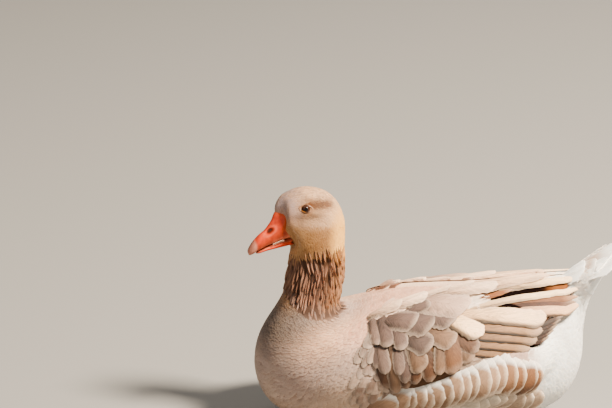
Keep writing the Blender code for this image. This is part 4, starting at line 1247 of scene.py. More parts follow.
# One closed vane whose tip is at u and v, pointing along u, turned by drop towards v.
# One closed vane whose tip is at u and v, pointing along u, turned by drop towards v.
def vaneArrays(
    surface, flip, u, v, length, halfWidth, source, drop=0.0, lift=0.0, blunt=0.24, tilt=vaneShape["tilt"],
    swell=1.0, bow=1.0,
):
    rows, columns, tipRows = vaneShape["rows"], vaneShape["columns"], vaneShape["tipRows"]
    byU, byV, _ = surfaceFrame(surface, np.array(u), np.array(v), flip)
    middleU = u - 0.5 * length * math.cos(drop) / np.linalg.norm(byU)
    middleV = v - 0.5 * length * math.sin(drop) / np.linalg.norm(byV)
    byU, byV, _ = surfaceFrame(surface, np.array(middleU), np.array(middleV), flip)
    rounded = 1.0 - blunt * (1.0 - np.sin(np.linspace(0.0, np.pi / 2.0, tipRows + 1)[1:]))
    share = np.concatenate([np.linspace(0.0, 1.0 - blunt, rows - tipRows), rounded])
    rounding = np.clip((share - (1.0 - blunt)) / blunt, 0.0, 1.0)
    width = (0.8 + 0.2 * smoothstep(share, 0.0, 0.45)) * np.sqrt(np.maximum(0.0, 1.0 - rounding ** 2.2))
    width[-1] = 0.03
    across = np.linspace(-1.0, 1.0, columns)[None, :]
    s = share[:, None] + 0.0 * across
    o = width[:, None] * across
    o = o * (1.0 + np.abs(across) ** 6 * source.normal(0.0, 0.05, o.shape))
    s = s + smoothstep(s, 0.8, 1.0) * source.normal(0.0, 0.006, s.shape)
    offset = (o + source.normal(0.0, 0.05) * (s - 0.5) ** 2) * halfWidth
    bowed = (np.maximum(0.0, s) ** bow - 1.0) * length
    pu = u + (math.cos(drop) * (s - 1.0) * length - math.sin(drop) * offset) / np.linalg.norm(byU)
    pv = v + (math.sin(drop) * bowed + math.cos(drop) * offset) / np.linalg.norm(byV)
    normal = surfaceFrame(surface, pu, pv, flip)[2]
    base = surface(pu, pv)
    rise = np.interp(s, vaneShape["risePlaces"], vaneShape["rises"])
    rise = np.where(rise > 0.0, swell * rise, rise) + lift + tilt * across
    rise = rise + min(0.0018, vaneShape["camber"] * halfWidth) * swell * (1.0 - across ** 2)
    thick = vaneShape["thickness"] * (1.0 - 0.6 * across ** 2) * (1.0 - 0.5 * s)
    top = base + normal * rise[..., None]
    points, faces = closedSheet(top, base + normal * (rise - thick)[..., None], flip < 0)
    local = np.stack([0.5 + 0.5 * across + 0.0 * s, np.clip(s, 0.0, 1.0)], axis=-1).reshape(-1, 2)
    return points, faces, np.concatenate([local, local])


class VanePile:     # gathers vanes into one mesh, each with its own cell of the bake map
    def __init__(self, seed):
        self.source = np.random.default_rng(seed)
        self.parts = {"points": [], "tint": [], "cells": [], "local": []}
        self.faces = []
        self.size = 0

    def add(self, points, faces, local, tint):
        index = len(self.parts["points"])
        cell = np.array([index % vaneShape["cell"], index // vaneShape["cell"]], dtype=float)
        values = {"points": points, "tint": np.ones((len(points), 3)) * tint, "local": local}
        values["cells"] = (cell + 0.06 + 0.88 * local) / vaneShape["cell"]
        for key, value in values.items():
            self.parts[key].append(value)
        self.faces += [tuple(self.size + i for i in f) for f in faces]
        self.size += len(points)

    def mesh(self, name):
        points, tint, cells, local = [np.concatenate(part) for part in self.parts.values()]
        return arrayMesh(name, points, self.faces, tint, cells, local)


# Large vanes of one wing: root x and v, tip x and v, half width, bluntness, look, lift in mm.
wingRows = (
    (0.018, 0.02, 0.147, 0.02, 0.0187, 0.14, "sheet", 0.8),
    (0.038, 0.15, 0.155, 0.04, 0.0202, 0.12, "sheet", 1.0),
    (0.091, 0.18, 0.2, 0.31, 0.0114, 0.14, "longSheet", 0.8),
    (0.052, 0.37, 0.204, 0.64, 0.0068, 0.12, "longSheet", 0.7),
    # painted shadow: the warm and red gap vanes here are dark sheets laid in the wedges of shade under the long
    # sheets
    (0.08, 0.43, 0.2, 0.8, 0.0062, 0.3, "warmShadow", -0.4),
    (0.077, 0.47, 0.196, 0.86, 0.0088, 0.3, "redShadow", -1.0),
    (0.098, 0.575, 0.2, 1.0, 0.009, 0.18, "tertial", 0.0),
    (0.108, 0.71, 0.178, 0.84, 0.0035, 0.3, "primary", -0.2),
    (0.108, 0.76, 0.174, 0.87, 0.0035, 0.3, "primary", -0.3),
    (0.105, 0.79, 0.169, 0.91, 0.0035, 0.3, "primary", -0.4),
    (0.102, 0.83, 0.164, 0.94, 0.0035, 0.3, "primary", -0.5),
    (0.099, 0.87, 0.157, 0.97, 0.0039, 0.3, "primary", -0.6),
    (0.029, 0.39, 0.152, 0.72, 0.0145, 0.1, "peach", 0.6),
    (0.029, 0.52, 0.147, 0.84, 0.009, 0.1, "secondary", 0.2),
    (0.029, 0.61, 0.14, 0.92, 0.0079, 0.1, "secondary", 0.0),
    (0.018, 0.66, 0.13, 0.99, 0.0074, 0.1, "secondary", -0.2),
    (0.015, 0.72, 0.116, 1.05, 0.007, 0.12, "secondary", -0.4),
    (0.021, 0.63, 0.05, 0.92, 0.0121, 0.3, "tan", -0.4),
    # painted shadow: this brown vane stands for the shade under the peach covert listed next
    (0.015, 0.52, 0.057, 0.85, 0.0124, 0.26, "brown", -0.2),
    (0.007, 0.29, 0.063, 0.71, 0.0153, 0.22, "peach", 0.6),
    (-0.029, 0.05, 0.043, 0.39, 0.0259, 0.2, "scapular", 1.4),
    (-0.021, 0.21, 0.025, 0.48, 0.0188, 0.24, "mauve", 0.9),
    (-0.015, 0.42, 0.025, 0.68, 0.0144, 0.24, "tan", 0.5),
    (0.007, 0.54, 0.006, 0.93, 0.0119, 0.3, "tan", 0.3),
    (0.018, 0.42, 0.025, 0.98, 0.0168, 0.34, "russet", 0.1),
    (-0.071, 0.19, -0.027, 0.34, 0.0181, 0.24, "mauve", 0.9),
    (-0.052, 0.21, -0.005, 0.44, 0.0212, 0.24, "mauve", 0.7),
    (-0.046, 0.39, -0.008, 0.64, 0.0154, 0.26, "mauve", 0.5),
    (-0.035, 0.46, -0.021, 0.83, 0.014, 0.3, "tan", 0.3),
    (-0.046, 0.52, -0.042, 0.9, 0.0099, 0.34, "mauve", 0.3),
    (-0.015, 0.61, -0.007, 0.97, 0.0112, 0.34, "brown", -0.1),
    (-0.034, 0.62, -0.027, 0.94, 0.0099, 0.34, "brown", 0.0),
    (-0.055, 0.46, -0.05, 0.8, 0.0093, 0.32, "lesser", 0.4),
    (-0.077, 0.13, -0.066, 0.5, 0.012, 0.26, "mauve", 0.8),
    (-0.06, 0.2, -0.046, 0.56, 0.0112, 0.26, "mauve", 0.7),
    (-0.09, 0.1, -0.08, 0.46, 0.0099, 0.28, "lesser", 0.7),
    (-0.091, 0.38, -0.083, 0.74, 0.009, 0.3, "mauve", 0.4),
    (-0.08, 0.39, -0.07, 0.79, 0.0103, 0.32, "lesser", 0.5),
    (-0.063, 0.45, -0.055, 1.03, 0.0102, 0.32, "tan", 0.4),
    (-0.085, 0.53, -0.067, 0.98, 0.0101, 0.32, "brown", 0.1),
    (-0.101, 0.16, -0.092, 0.91, 0.0107, 0.3, "lesser", 0.0),
    (-0.109, 0.09, -0.104, 0.78, 0.0088, 0.3, "lesser", -0.4),
    (-0.071, 0.68, -0.062, 1.05, 0.0084, 0.36, "brown", 0.2),
    (-0.055, 0.67, -0.039, 0.97, 0.0087, 0.36, "brown", 0.1),
    (-0.088, 0.02, -0.014, 0.02, 0.0145, 0.16, "pale", 0.8),
    (-0.052, 0.02, 0.024, 0.02, 0.014, 0.16, "pale", 0.8),
    (-0.014, 0.02, 0.057, 0.03, 0.0156, 0.16, "pale", 1.0),
    (0.007, 0.07, 0.088, 0.17, 0.0202, 0.18, "pale", 1.1),
    # painted shadow: a warm dark sheet laid under the pale vane above, where its shadow falls
    (0.04, 0.28, 0.108, 0.245, 0.006, 0.4, "warmShadow", -0.6),
    (-0.066, 0.04, -0.01, 0.07, 0.0177, 0.18, "pale", 0.8),
    (-0.094, 0.02, -0.046, 0.07, 0.0148, 0.2, "pale", 0.6),
    (-0.046, 0.2, -0.007, 0.18, 0.0138, 0.2, "mauve", 0.7),
)
# Tint, how far the lower edge stands out over its neighbour, in mm, and the bow of its path.
wingLook = {
    "sheet": ((0.72, 0.43, 0.27), 0.5, 1.0),
    "longSheet": ((1.0, 0.63, 0.36), 0.4, 5.0),
    "peach": ((1.0, 0.58, 0.31), 1.4, 1.0),
    "pale": ((0.7, 0.44, 0.3), 0.3, 1.0),
    "scapular": ((0.4, 0.25, 0.185), 0.8, 1.0),
    "tertial": ((0.62, 0.32, 0.17), 0.6, 3.0),
    "mauve": ((0.092, 0.056, 0.045), 0.6, 1.0),
    "lesser": ((0.16, 0.1, 0.078), 0.5, 1.0),
    "tan": ((0.165, 0.088, 0.05), 0.6, 1.0),
    "brown": ((0.078, 0.033, 0.016), 0.4, 1.0),
    "russet": ((0.12, 0.05, 0.022), 0.6, 1.0),
    "secondary": ((0.25, 0.125, 0.058), 1.2, 1.0),
    "primary": ((0.017, 0.0075, 0.0045), 0.9, 1.0),
    # painted shadow: the two gap looks below are dark sheets standing for the shade between vanes
    "warmShadow": ((0.17, 0.056, 0.016), 0.0, 3.7),
    "redShadow": ((0.06, 0.015, 0.004), 0.0, 3.0),
}
# Painted light and shade on the pad under the vanes: high is its pale colour near the back's middle, partly
# painted light; low is painted shade further down, where the pad shows only in gaps.
bedTint = {
    "high": (0.76, 0.55, 0.41), "low": (0.075, 0.04, 0.023), "from": 0.16, "to": 0.4,
    "behind": (0.003, 0.001, 0.0006),     # painted shadow in the gaps between the long vanes
    # painted shadow, browner, at the rear end of those gaps
    "rear": (0.15, 0.05, 0.014),
}
wingCore = {
    "endX": 0.17, "inset": 0.0018, "alongSteps": 40, "roundSteps": 22,
    "frontSink": 0.011,                     # the pad's front end sinks into the body
    # looks whose vanes get a painted shadow line along their lower side
    "shadedBelow": ("secondary", "peach", "tertial"),
    "mapSpan": {                            # the part of the pattern's width that a look uses
        "secondary": (0.0, 0.8), "peach": (0.0, 0.8), "tertial": (0.0, 0.8), "primary": (0.42, 0.58),
        "warmShadow": (0.3, 0.7), "redShadow": (0.42, 0.58),
    },
}


wingFinish = featherMaterial(
    "wingVanes",
    {
        "Edge Tint": (0.7, 0.5, 0.37), "Edge Strength": 0.26, "Edge Width": 0.36, "Shaft Strength": 0.25,
        "Barb Strength": 2.1, "Barb Count": 24.0, "Root Shade": 0.5, "Low Shade": 0.45,
    },
    roughness=0.66, bump=0.35,
)


def bedInset(x):
    return wingCore["inset"] + wingCore["frontSink"] * smoothstep(-0.088 - x, 0.0, 0.03)


def wingBed(side, name):        # the closed pad under the wing's vanes
    rows, columns = wingCore["alongSteps"], wingCore["roundSteps"]
    v = np.linspace(0.0, 1.0, columns)[None, :] + np.zeros((rows, 1))
    end = wingCore["endX"] + 0.016 * bump(v, 0.36, 0.2) - 0.024 * smoothstep(v, 0.6, 0.85)
    x = wingHull[0, 0] + (end - wingHull[0, 0]) * np.linspace(0.0, 1.0, rows)[:, None]
    outer = hullPoint(x, v, side, bedInset(x))
    inner = hullPoint(x, v, side, np.maximum(hullRow(x)[..., 6] - 0.002, bedInset(x) + 0.004))
    ring = np.concatenate([outer, inner[:, ::-1]], axis=1)
    count = ring.shape[1]
    faces = gridFaces(rows, count, wraps=True, flip=side < 0)
    for first, turn in ((0, side < 0), ((rows - 1) * count, side > 0)):
        for j in range(columns - 1):
            face = (first + j, first + j + 1, first + count - 2 - j, first + count - 1 - j)
            faces.append(face if turn else tuple(reversed(face)))
    share = np.concatenate([v, v[:, ::-1]], axis=1)
    xs = np.concatenate([x, x], axis=1)
    # painted light and shade: pale near the back's middle, dark lower down, near black behind the long vanes and
    # browner at their rear end
    tint = np.ones(ring.shape) * np.array(bedTint["high"])
    tint = blended(tint, bedTint["low"], smoothstep(share, bedTint["from"], bedTint["to"]))
    behind = smoothstep(xs, 0.04, 0.07) * smoothstep(share, 0.1, 0.17)
    tint = blended(tint, bedTint["behind"], behind)
    tint = blended(tint, bedTint["rear"], smoothstep(xs, 0.15, 0.17) * behind)
    u = np.linspace(0.01, 0.99, rows)[:, None] + np.zeros((1, count))
    w = np.linspace(0.01, 0.99, count)[None, :] + np.zeros((rows, 1))
    maps = np.stack([u, w], axis=-1).reshape(-1, 2)
    return outwardFaces(arrayMesh(name, ring.reshape(-1, 3), faces, tint.reshape(-1, 3), maps))


def makeWing(side, word):
    addPiece(wingBed(side, "wingBed_" + word), bedFinish, "buff_feathers", "wing_" + word)
    surface = wingSide(side)
    pile = VanePile(40 + int(side))
    for rootX, rootV, tipX, tipV, half, blunt, look, lift in wingRows:
        middle = (np.array(0.5 * (rootX + tipX)), np.array(0.5 * (rootV + tipV)))
        byX, byV, _ = surfaceFrame(surface, *middle, side)
        overX = (tipX - rootX) * np.linalg.norm(byX)
        overV = (tipV - rootV) * np.linalg.norm(byV)
        tint, edgeLift, bow = wingLook[look]
        tint = np.array(tint) * pile.source.uniform(0.8, 1.12)
        points, faces, local = vaneArrays(
            surface, side, tipX, tipV, math.hypot(overX, overV), half, pile.source, math.atan2(overV, overX),
            lift / 1000.0, blunt, tilt=edgeLift / 1000.0, bow=bow,
        )
        # painted shadow: these vanes are darkened along their lower side, as the shade line between each and the
        # vane below
        shadowLine = smoothstep(local[:, :1], 0.72, 0.92) * (look in wingCore["shadedBelow"])
        local[:, 0] = np.interp(local[:, 0], (0.0, 1.0), wingCore["mapSpan"].get(look, (0.0, 1.0)))
        pile.add(points, faces, local, tint * (1.0 - 0.96 * shadowLine))
    addPiece(pile.mesh("wingVanes_" + word), wingFinish, "buff_feathers", "wing_" + word, sharpAngle=60)


# Small feathers on the wing: x and v from and to, direction in degrees, tint, and gap, length, width and rise
# in mm.
wingFluff = (
    (-0.124, -0.101, 0.1, 0.88, 48.0, (0.18, 0.118, 0.091), 4.0, 24.0, 11.0, 2.0),
    (-0.126, -0.06, 0.0, 0.11, 10.0, (0.66, 0.44, 0.32), 5.0, 26.0, 15.0, 0.4),
    (0.03, 0.06, 0.16, 0.44, 24.0, (0.8, 0.62, 0.48), 4.6, 20.0, 9.0, 1.2),
    (0.026, 0.06, 0.8, 1.02, 38.0, (0.34, 0.22, 0.15), 4.6, 18.0, 9.0, 0.5),
    (0.15, 0.19, 0.02, 0.2, 4.0, (0.88, 0.76, 0.64), 5.0, 20.0, 9.0, 1.4),
)
fluffFinish = featherMaterial(
    "wingFluff",
    {
        "Edge Tint": (0.9, 0.76, 0.64), "Edge Strength": 0.25, "Edge Width": 0.4, "Barb Count": 14.0,
        "Root Shade": 0.2,
    },
)


def growFluff(side, word):
    source = np.random.default_rng(51)
    kept = {key: [] for key in ("place", "pointing", "outward", "size", "spot", "tint")}
    for fromX, toX, fromV, toV, drop, tint, gap, *size in wingFluff:
        count = int(1.44 * (toX - fromX) * (toV - fromV) / (gap / 1000.0) ** 2)
        x = source.uniform(fromX, toX, count)
        v = source.uniform(fromV, toV, count)
        place = hullPoint(x, v, side, bedInset(x))
        order = thinned(place, np.full(count, gap / 1000.0))
        x, v, place = x[order], v[order], place[order]
        count = len(x)
        byX, byV, normal = surfaceFrame(wingSide(side), x, v, side)
        turn = np.radians(drop + source.normal(0.0, 9.0, count))[:, None]
        length, width, rise = size
        for key, value in (
            ("place", place), ("pointing", np.cos(turn) * unit(byX) + np.sin(turn) * unit(byV)),
            ("outward", normal),
            ("size", np.array([width, length, rise]) / 1000.0 * source.uniform(0.8, 1.2, (count, 1))),
            ("spot", np.stack([0.05 + 0.9 * (x + 0.13) / 0.36, 0.03 + 0.85 * v / 1.1, 0.0 * x], axis=-1)),
            ("tint", np.array(tint) * source.uniform(0.82, 1.18, (count, 1))),
        ):
            kept[key].append(value)
    roots = {key: np.concatenate(values) for key, values in kept.items()}
    growFeathers("wingFluff_" + word, "frayed", roots, fluffFinish, "buff_feathers", "wing_" + word)


def makeFlank(side, word):
    pile = VanePile(31)
    source = pile.source
    light, dark = [np.array(c) for c in flankPlumes["tints"]]
    for below, half, lift in reversed(flankPlumes["rows"]):
        upper = below < 0.04
        for x in np.arange(flankPlumes["fromX"], flankPlumes["toX"], flankPlumes["step"]):
            x += source.normal(0.0, 0.002)
            z = (
                float(np.interp(x, flankPlumes["topPlaces"], flankPlumes["tops"])) - below
                + source.normal(0.0, 0.0018)
            )
            if z < 0.016:
                continue
            t, angle = trunkSpot(x, z, side)
            tint = light + (dark - light) * source.uniform(0.0, 1.0)
            tint = tint + (np.array(plumage["belly"]) - tint) * 0.7 * smoothstep(below, 0.04, 0.09)
            rear = smoothstep(x, 0.085, 0.125) * (0.85 if upper else 0.45)
            tint = tint + (np.array(flankPlumes["rearTint"]) - tint) * rear
            length = flankPlumes["length"] * source.uniform(0.92, 1.08)
            halfWidth = half * source.uniform(0.9, 1.1)
            drop = flankPlumes["drop"] + source.normal(0.0, 0.06)
            points, faces, local = vaneArrays(
                bodySide(side), side, t, angle, length, halfWidth, source, drop, lift, flankPlumes["blunt"],
            )
            points[:, 2] = np.maximum(0.0008, points[:, 2])
            high = 0.85 * smoothstep(0.24 - local[:, 0], 0.0, 0.2) * upper
            pile.add(points, faces, local, towards(tint, "white", high))
    addPiece(pile.mesh("flankVanes_" + word), flankFinish, "pale_feathers", "flank_" + word, sharpAngle=60)


hanging = {
    "fromX": -0.128, "toX": -0.062, "step": 0.0086,
    "tips": (0.03, 0.052, 0.074, 0.096, 0.114, 0.129, 0.143),                 # heights of the rows
    "frontAt": (-0.128, -0.128, -0.128, -0.112, -0.112, -0.11, -0.104),       # where each row begins
    "rearward": 0.18,           # how far a column leans back for each metre it hangs
    "length": 0.05, "halfWidth": 0.0058, "drop": 1.22, "blunt": 0.3,
    "tints": ((0.4, 0.265, 0.195), (0.12, 0.07, 0.05)),
}


def makeHanging(side, word):
    pile = VanePile(61)
    source = pile.source
    light, dark = [np.array(c) for c in hanging["tints"]]
    columns = np.arange(hanging["fromX"], hanging["toX"], hanging["step"])
    depth = 0.75 * (np.arange(len(columns)) % 2) + source.uniform(0.0, 0.25, len(columns))
    for row, (tipZ, frontAt) in enumerate(zip(hanging["tips"], hanging["frontAt"])):
        for column, x in enumerate(columns):
            x += hanging["rearward"] * (0.12 - tipZ) + source.normal(0.0, 0.0005)
            z = tipZ + 0.01 * smoothstep(-0.11 - x, 0.0, 0.03) + source.normal(0.0, 0.0045)
            if x < frontAt or (row > 4 and x > -0.088):
                continue
            t, angle = trunkSpot(x, z, side)
            lift = 0.0003 * (column % 2) - 0.0003 + (0.0022 * smoothstep(x, -0.112, -0.09) if row > 3 else 0.0)
            tint = light + (dark - light) * (0.8 * depth[column] + source.uniform(0.0, 0.2))
            length = hanging["length"] * source.uniform(0.85, 1.15)
            halfWidth = hanging["halfWidth"] * source.uniform(0.85, 1.15)
            drop = hanging["drop"] + source.normal(0.0, 0.03)
            points, faces, local = vaneArrays(
                bodySide(side), side, t, angle, length, halfWidth, source, drop, lift, hanging["blunt"],
                tilt=0.0001, swell=0.12,
            )
            points[:, 2] = np.maximum(0.0008, points[:, 2])
            hidden = 1.0 - smoothstep(local[:, 1], 0.15, 0.6) * (1.0 if row < 3 else 0.6)
            pile.add(points, faces, local, towards(tint, "breast", hidden) * (0.72 if row > 3 else 1.0))
    nodes = ("torso", "flank_" + word)
    addPiece(pile.mesh("breastVanes_" + word), hangingFinish, "pale_feathers", *nodes, sharpAngle=60)


hangingFinish = featherMaterial(
    "breastVanes",
    {
        "Edge Tint": (0.8, 0.62, 0.48), "Edge Strength": 0.16, "Edge Width": 0.45, "Shaft Strength": 0.0,
        "Barb Strength": 1.4, "Barb Count": 12.0, "Root Shade": 0.15, "Low Shade": 0.45,
    },
)
bedFinish = skinMaterial("wingDown", specular=0.02)
sides = ((-1.0, "left"), (1.0, "right"))
for make in (makeWing, growFluff, makeFlank, makeHanging):
    for side, word in sides:
        make(side, word)
print("wings made")


tailFan = {
    "pairs": 8,
    "root": np.array([0.184, 0.019, 0.2105]),
    "tip": np.array([0.2625, 0.047, 0.255]),
    "round": 0.013,
    "roof": 0.017,
    "halfWidth": 0.011,
    # tip's place, count, spread, lift, length, share of the dark patch
    "coverts": (
        (0.8, 7, 1.7, 0.0022, 0.056, 0.0), (0.58, 6, 1.7, 0.0027, 0.05, 0.85), (0.38, 5, 1.6, 0.0032, 0.04, 0.0),
    ),
    "undertail": (
        (0.94, 7, 2.3, 0.0004, 0.05, 0.0), (0.7, 7, 2.3, 0.0009, 0.048, 0.0), (0.46, 7, 2.3, 0.0013, 0.044, 0.0),
    ),
    "covertWidth": 0.014,
}
tailOutline = bodyOutline[30:]


def fanPoint(a, b):
    a = np.asarray(a, dtype=float)
    root = tailFan["root"]
    tip = tailFan["tip"]
    x = root[0] + (tip[0] - tailFan["round"] * b * b - root[0]) * a
    y = root[1] * b * (1.0 - a) + tip[1] * b * a
    z = (root[2] - 0.4 * tailFan["roof"] * b * b) * (1.0 - a) + (tip[2] - tailFan["roof"] * b * b) * a
    return np.stack([x + 0.0 * y, y, z], axis=-1)


def undertailPoint(a, b):
    station = along(tailOutline, np.asarray(a) * (len(tailOutline) - 1))
    return sectionPoint(station, math.pi - np.asarray(b, dtype=float))


whiteFinish = featherMaterial(
    "whiteVanes",
    {
        "Edge Tint": (0.97, 0.94, 0.9), "Edge Strength": 0.6, "Edge Width": 0.4, "Barb Count": 24.0,
        "Root Shade": 0.05,
    },
    roughness=0.66,
)


def makeTail():
    pile = VanePile(21)
    source = pile.source
    white = np.array(plumage["white"])
    for i in range(tailFan["pairs"]):
        share = (i + 0.5) / tailFan["pairs"]
        length = float(np.linalg.norm(fanPoint(1.0, share) - fanPoint(0.0, share)))
        for side in (-1.0, 1.0):
            lift = 0.0004 * (tailFan["pairs"] - i) + source.uniform(-0.0001, 0.0001)
            points, faces, local = vaneArrays(
                fanPoint, 1.0, 1.0, side * share, length, tailFan["halfWidth"], source, 0.0, lift, 0.14, swell=0.5,
            )
            dark = smoothstep(1.0 - local[:, 1], 0.12, 0.5) * (0.85 if i < 6 else 0.2)
            pile.add(points, faces, local, towards(white, "tailPatch", dark))
    for surface, rows in ((fanPoint, tailFan["coverts"]), (undertailPoint, tailFan["undertail"])):
        for a, count, spread, lift, length, dark in rows:
            for i in range(count):
                b = spread * ((i + 0.5) / count - 0.5) + source.uniform(-0.03, 0.03)
                points, faces, local = vaneArrays(
                    surface, 1.0, a, b, length, tailFan["covertWidth"], source, 0.0,
                    lift + source.uniform(-0.0003, 0.0003), 0.4, tilt=0.0, swell=0.3,
                )
                patch = dark * smoothstep(local[:, 1], 0.25, 0.85)
                pile.add(points, faces, local, towards(white, "tailPatch", patch))
    addPiece(pile.mesh("tailVanes"), whiteFinish, "white_feathers", "tail", sharpAngle=60)


makeTail()
print("tail made")


# Each row of the bill: top x and z, edge x and z, then as in the body's outline.
bill = {
    "upper": np.array([
        (-0.2218, 0.3062, -0.2095, 0.269, 0.0158, 0.62, 0.8, 0.0125),  # inside the face
        (-0.226, 0.3052, -0.213, 0.2688, 0.016, 0.62, 0.8, 0.0122),
        (-0.2308, 0.2935, -0.2175, 0.2678, 0.0153, 0.64, 0.84, 0.0068),
        (-0.2392, 0.281, -0.227, 0.2635, 0.014, 0.66, 0.85, 0.002),
        (-0.2483, 0.2727, -0.2385, 0.2583, 0.0128, 0.66, 0.85, 0.0),
        (-0.2562, 0.2637, -0.249, 0.2526, 0.0115, 0.66, 0.85, 0.0),
        (-0.2612, 0.2565, -0.2555, 0.2478, 0.0092, 0.64, 0.88, 0.0),
        (-0.2636, 0.2512, -0.2598, 0.2452, 0.0062, 0.6, 0.95, 0.0),
        (-0.2636, 0.248, -0.2618, 0.2447, 0.0032, 0.5, 1.0, 0.0),
    ]),
    "lower": np.array([
        (-0.211, 0.2678, -0.208, 0.2592, 0.0122, 0.45, 0.85, 0.01),
        (-0.217, 0.2668, -0.215, 0.2565, 0.0128, 0.45, 0.85, 0.004),
        (-0.2265, 0.262, -0.2255, 0.2538, 0.012, 0.45, 0.85, 0.001),
        (-0.2385, 0.257, -0.238, 0.2508, 0.0106, 0.45, 0.85, 0.0),
        (-0.2475, 0.252, -0.247, 0.2478, 0.0082, 0.45, 0.88, 0.0),
        (-0.252, 0.2495, -0.2518, 0.247, 0.005, 0.5, 0.95, 0.0),
    ]),
    "rings": 72,
    "sides": 72,
    "nostril": {
        "x": -0.2334, "z": 0.2806, "long": 0.0058, "high": 0.0026, "lean": math.radians(-38), "depth": 0.0024,
        "lip": 0.0004,
    },
    "nailFrom": -0.2535,
    "lowerNailFrom": -0.2475,
    "nailStep": 0.0004,
    "orange": (0.25, 0.02, 0.001),
    "orangeTop": (0.46, 0.027, 0.001),
    "base": (0.44, 0.06, 0.004),
    "edge": (0.62, 0.19, 0.1),
    "nail": (0.36, 0.145, 0.095),
    # painted shade inside the nostril's hollow
    "dark": (0.045, 0.008, 0.004),
    "teeth": {"fromX": -0.229, "toX": -0.214, "count": 15, "inside": 0.001},
    "tooth": (0.00065, 0.0028, 0.0012),    # width, length, thickness
    "toothTint": (0.75, 0.5, 0.36),
}


def hornMaterial(name, roughness=0.42, coatWeight=0.04):    # smooth horn or skin with faint grain
    made, tree, shader = newMaterial(name, {
        "Specular IOR Level": 0.18, "Coat Weight": coatWeight, "Coat Roughness": 0.3,
    })
    coords = objectCoords(tree)
    stains = noise(tree, coords, 160.0, 4.0)
    grain = noise(tree, coords, 1400.0, 3.0)
    colour = shaded(tree, ownTint(tree), calc(tree, "MULTIPLY_ADD", stains, 1.1, 0.45))
    tree.links.new(colour, shader.inputs["Base Color"])
    tree.links.new(calc(tree, "MULTIPLY_ADD", grain, 0.25, roughness - 0.12), shader.inputs["Roughness"])
    addRelief(tree, shader, grain, 0.3, 0.0003)
    return made


def billRings(table):
    t = np.linspace(0.0, len(table) - 1.0, bill["rings"])[:, None]
    angle = turns(bill["sides"])[None, :]
    return sectionPoint(along(table, t[:, 0])[:, None, :], angle), np.cos(angle) + 0.0 * t, t + 0.0 * angle


def makeBill():
    finish = hornMaterial("billHorn")
    rings, high, t = billRings(bill["upper"])
    x, y, z = rings[..., 0], rings[..., 1], rings[..., 2]
    slot = bill["nostril"]
    dx, dz = x - slot["x"], z - slot["z"]
    c, s = math.cos(slot["lean"]), math.sin(slot["lean"])
    off = ((dx * c - dz * s) / slot["long"]) ** 2 + ((dx * s + dz * c) / slot["high"]) ** 2
    onSide = np.abs(y) > 0.004
    hollow = smoothstep(1.5 - off, 0.0, 1.3) * onSide
    lip = bump(np.sqrt(off), 1.75, 0.45) * onSide
    colour = np.ones(rings.shape) * np.array(bill["orange"])
    for name, share in (
        ("orangeTop", smoothstep(high, 0.1, 0.9)),
        ("base", 0.7 * smoothstep(1.6 - t, 0.0, 0.9)),
        ("edge", 0.55 * bump(high, -0.55, 0.25)),
        ("nail", 0.92 * smoothstep(bill["nailFrom"] - x + 0.0016 * np.abs(y) / 0.005, 0.0, 0.0035)),
        # painted shade: the nostril's hollow is darkened
        ("dark", hollow),
        ("edge", 0.22 * lip * (1.0 - hollow)),
    ):
        colour = blended(colour, bill[name], share)
    step = smoothstep(bill["nailFrom"] + 0.0004 - x, 0.0, 0.0012) * smoothstep(high, 0.0, 0.5)
    depth = lip * slot["lip"] - hollow * slot["depth"]
    rings = rings + np.stack([0.0 * x, np.sign(y) * depth, bill["nailStep"] * step], axis=-1)
    addPiece(closedLoft("billUpper", turned(rings), colour, True), finish, "orange_bill", "bill_upper")
    rings, high, t = billRings(bill["lower"])
    colour = np.ones(rings.shape) * np.array(bill["orangeTop"])
    colour = blended(colour, bill["edge"], 0.6 * smoothstep(high, 0.1, 0.6))
    colour = blended(colour, bill["nail"], 0.7 * smoothstep(bill["lowerNailFrom"] - rings[..., 0], 0.0, 0.004))
    addPiece(closedLoft("billLower", turned(rings), colour, True), finish, "orange_bill", "bill_lower")


def growTeeth():            # the comb along the upper bill's edge, where it shows at the mouth
    row = bill["teeth"]
    x = np.tile(np.linspace(row["fromX"], row["toX"], row["count"]), 2)
    side = np.repeat([-1.0, 1.0], row["count"])
    table = bill["upper"][::-1]
    y = side * (np.interp(x, table[:, 2], table[:, 4]) - row["inside"])
    place = np.stack([x, y, np.interp(x, table[:, 2], table[:, 3]) + 0.0006], axis=-1)
    down = np.array([0.0, 0.0, -1.0]) + 0.35 * np.stack([0.0 * x, -side, 0.0 * x], axis=-1)
    u = 0.05 + 0.9 * (x - row["fromX"]) / (row["toX"] - row["fromX"])
    roots = {
        "place": turned(place), "pointing": unit(turned(place + 0.002 * down) - turned(place)),
        "outward": np.stack([0.0 * x, side, 0.0 * x], axis=-1), "size": np.tile(bill["tooth"], (len(x), 1)),
        "spot": np.stack([u, 0.5 + 0.3 * side, 0.0 * x], axis=-1),
        "tint": np.tile(bill["toothTint"], (len(x), 1)),
    }
    growFeathers("billTeeth", "tooth", roots, hornMaterial("combHorn"), "orange_bill", "bill_upper")


makeBill()
growTeeth()
print("bill made")


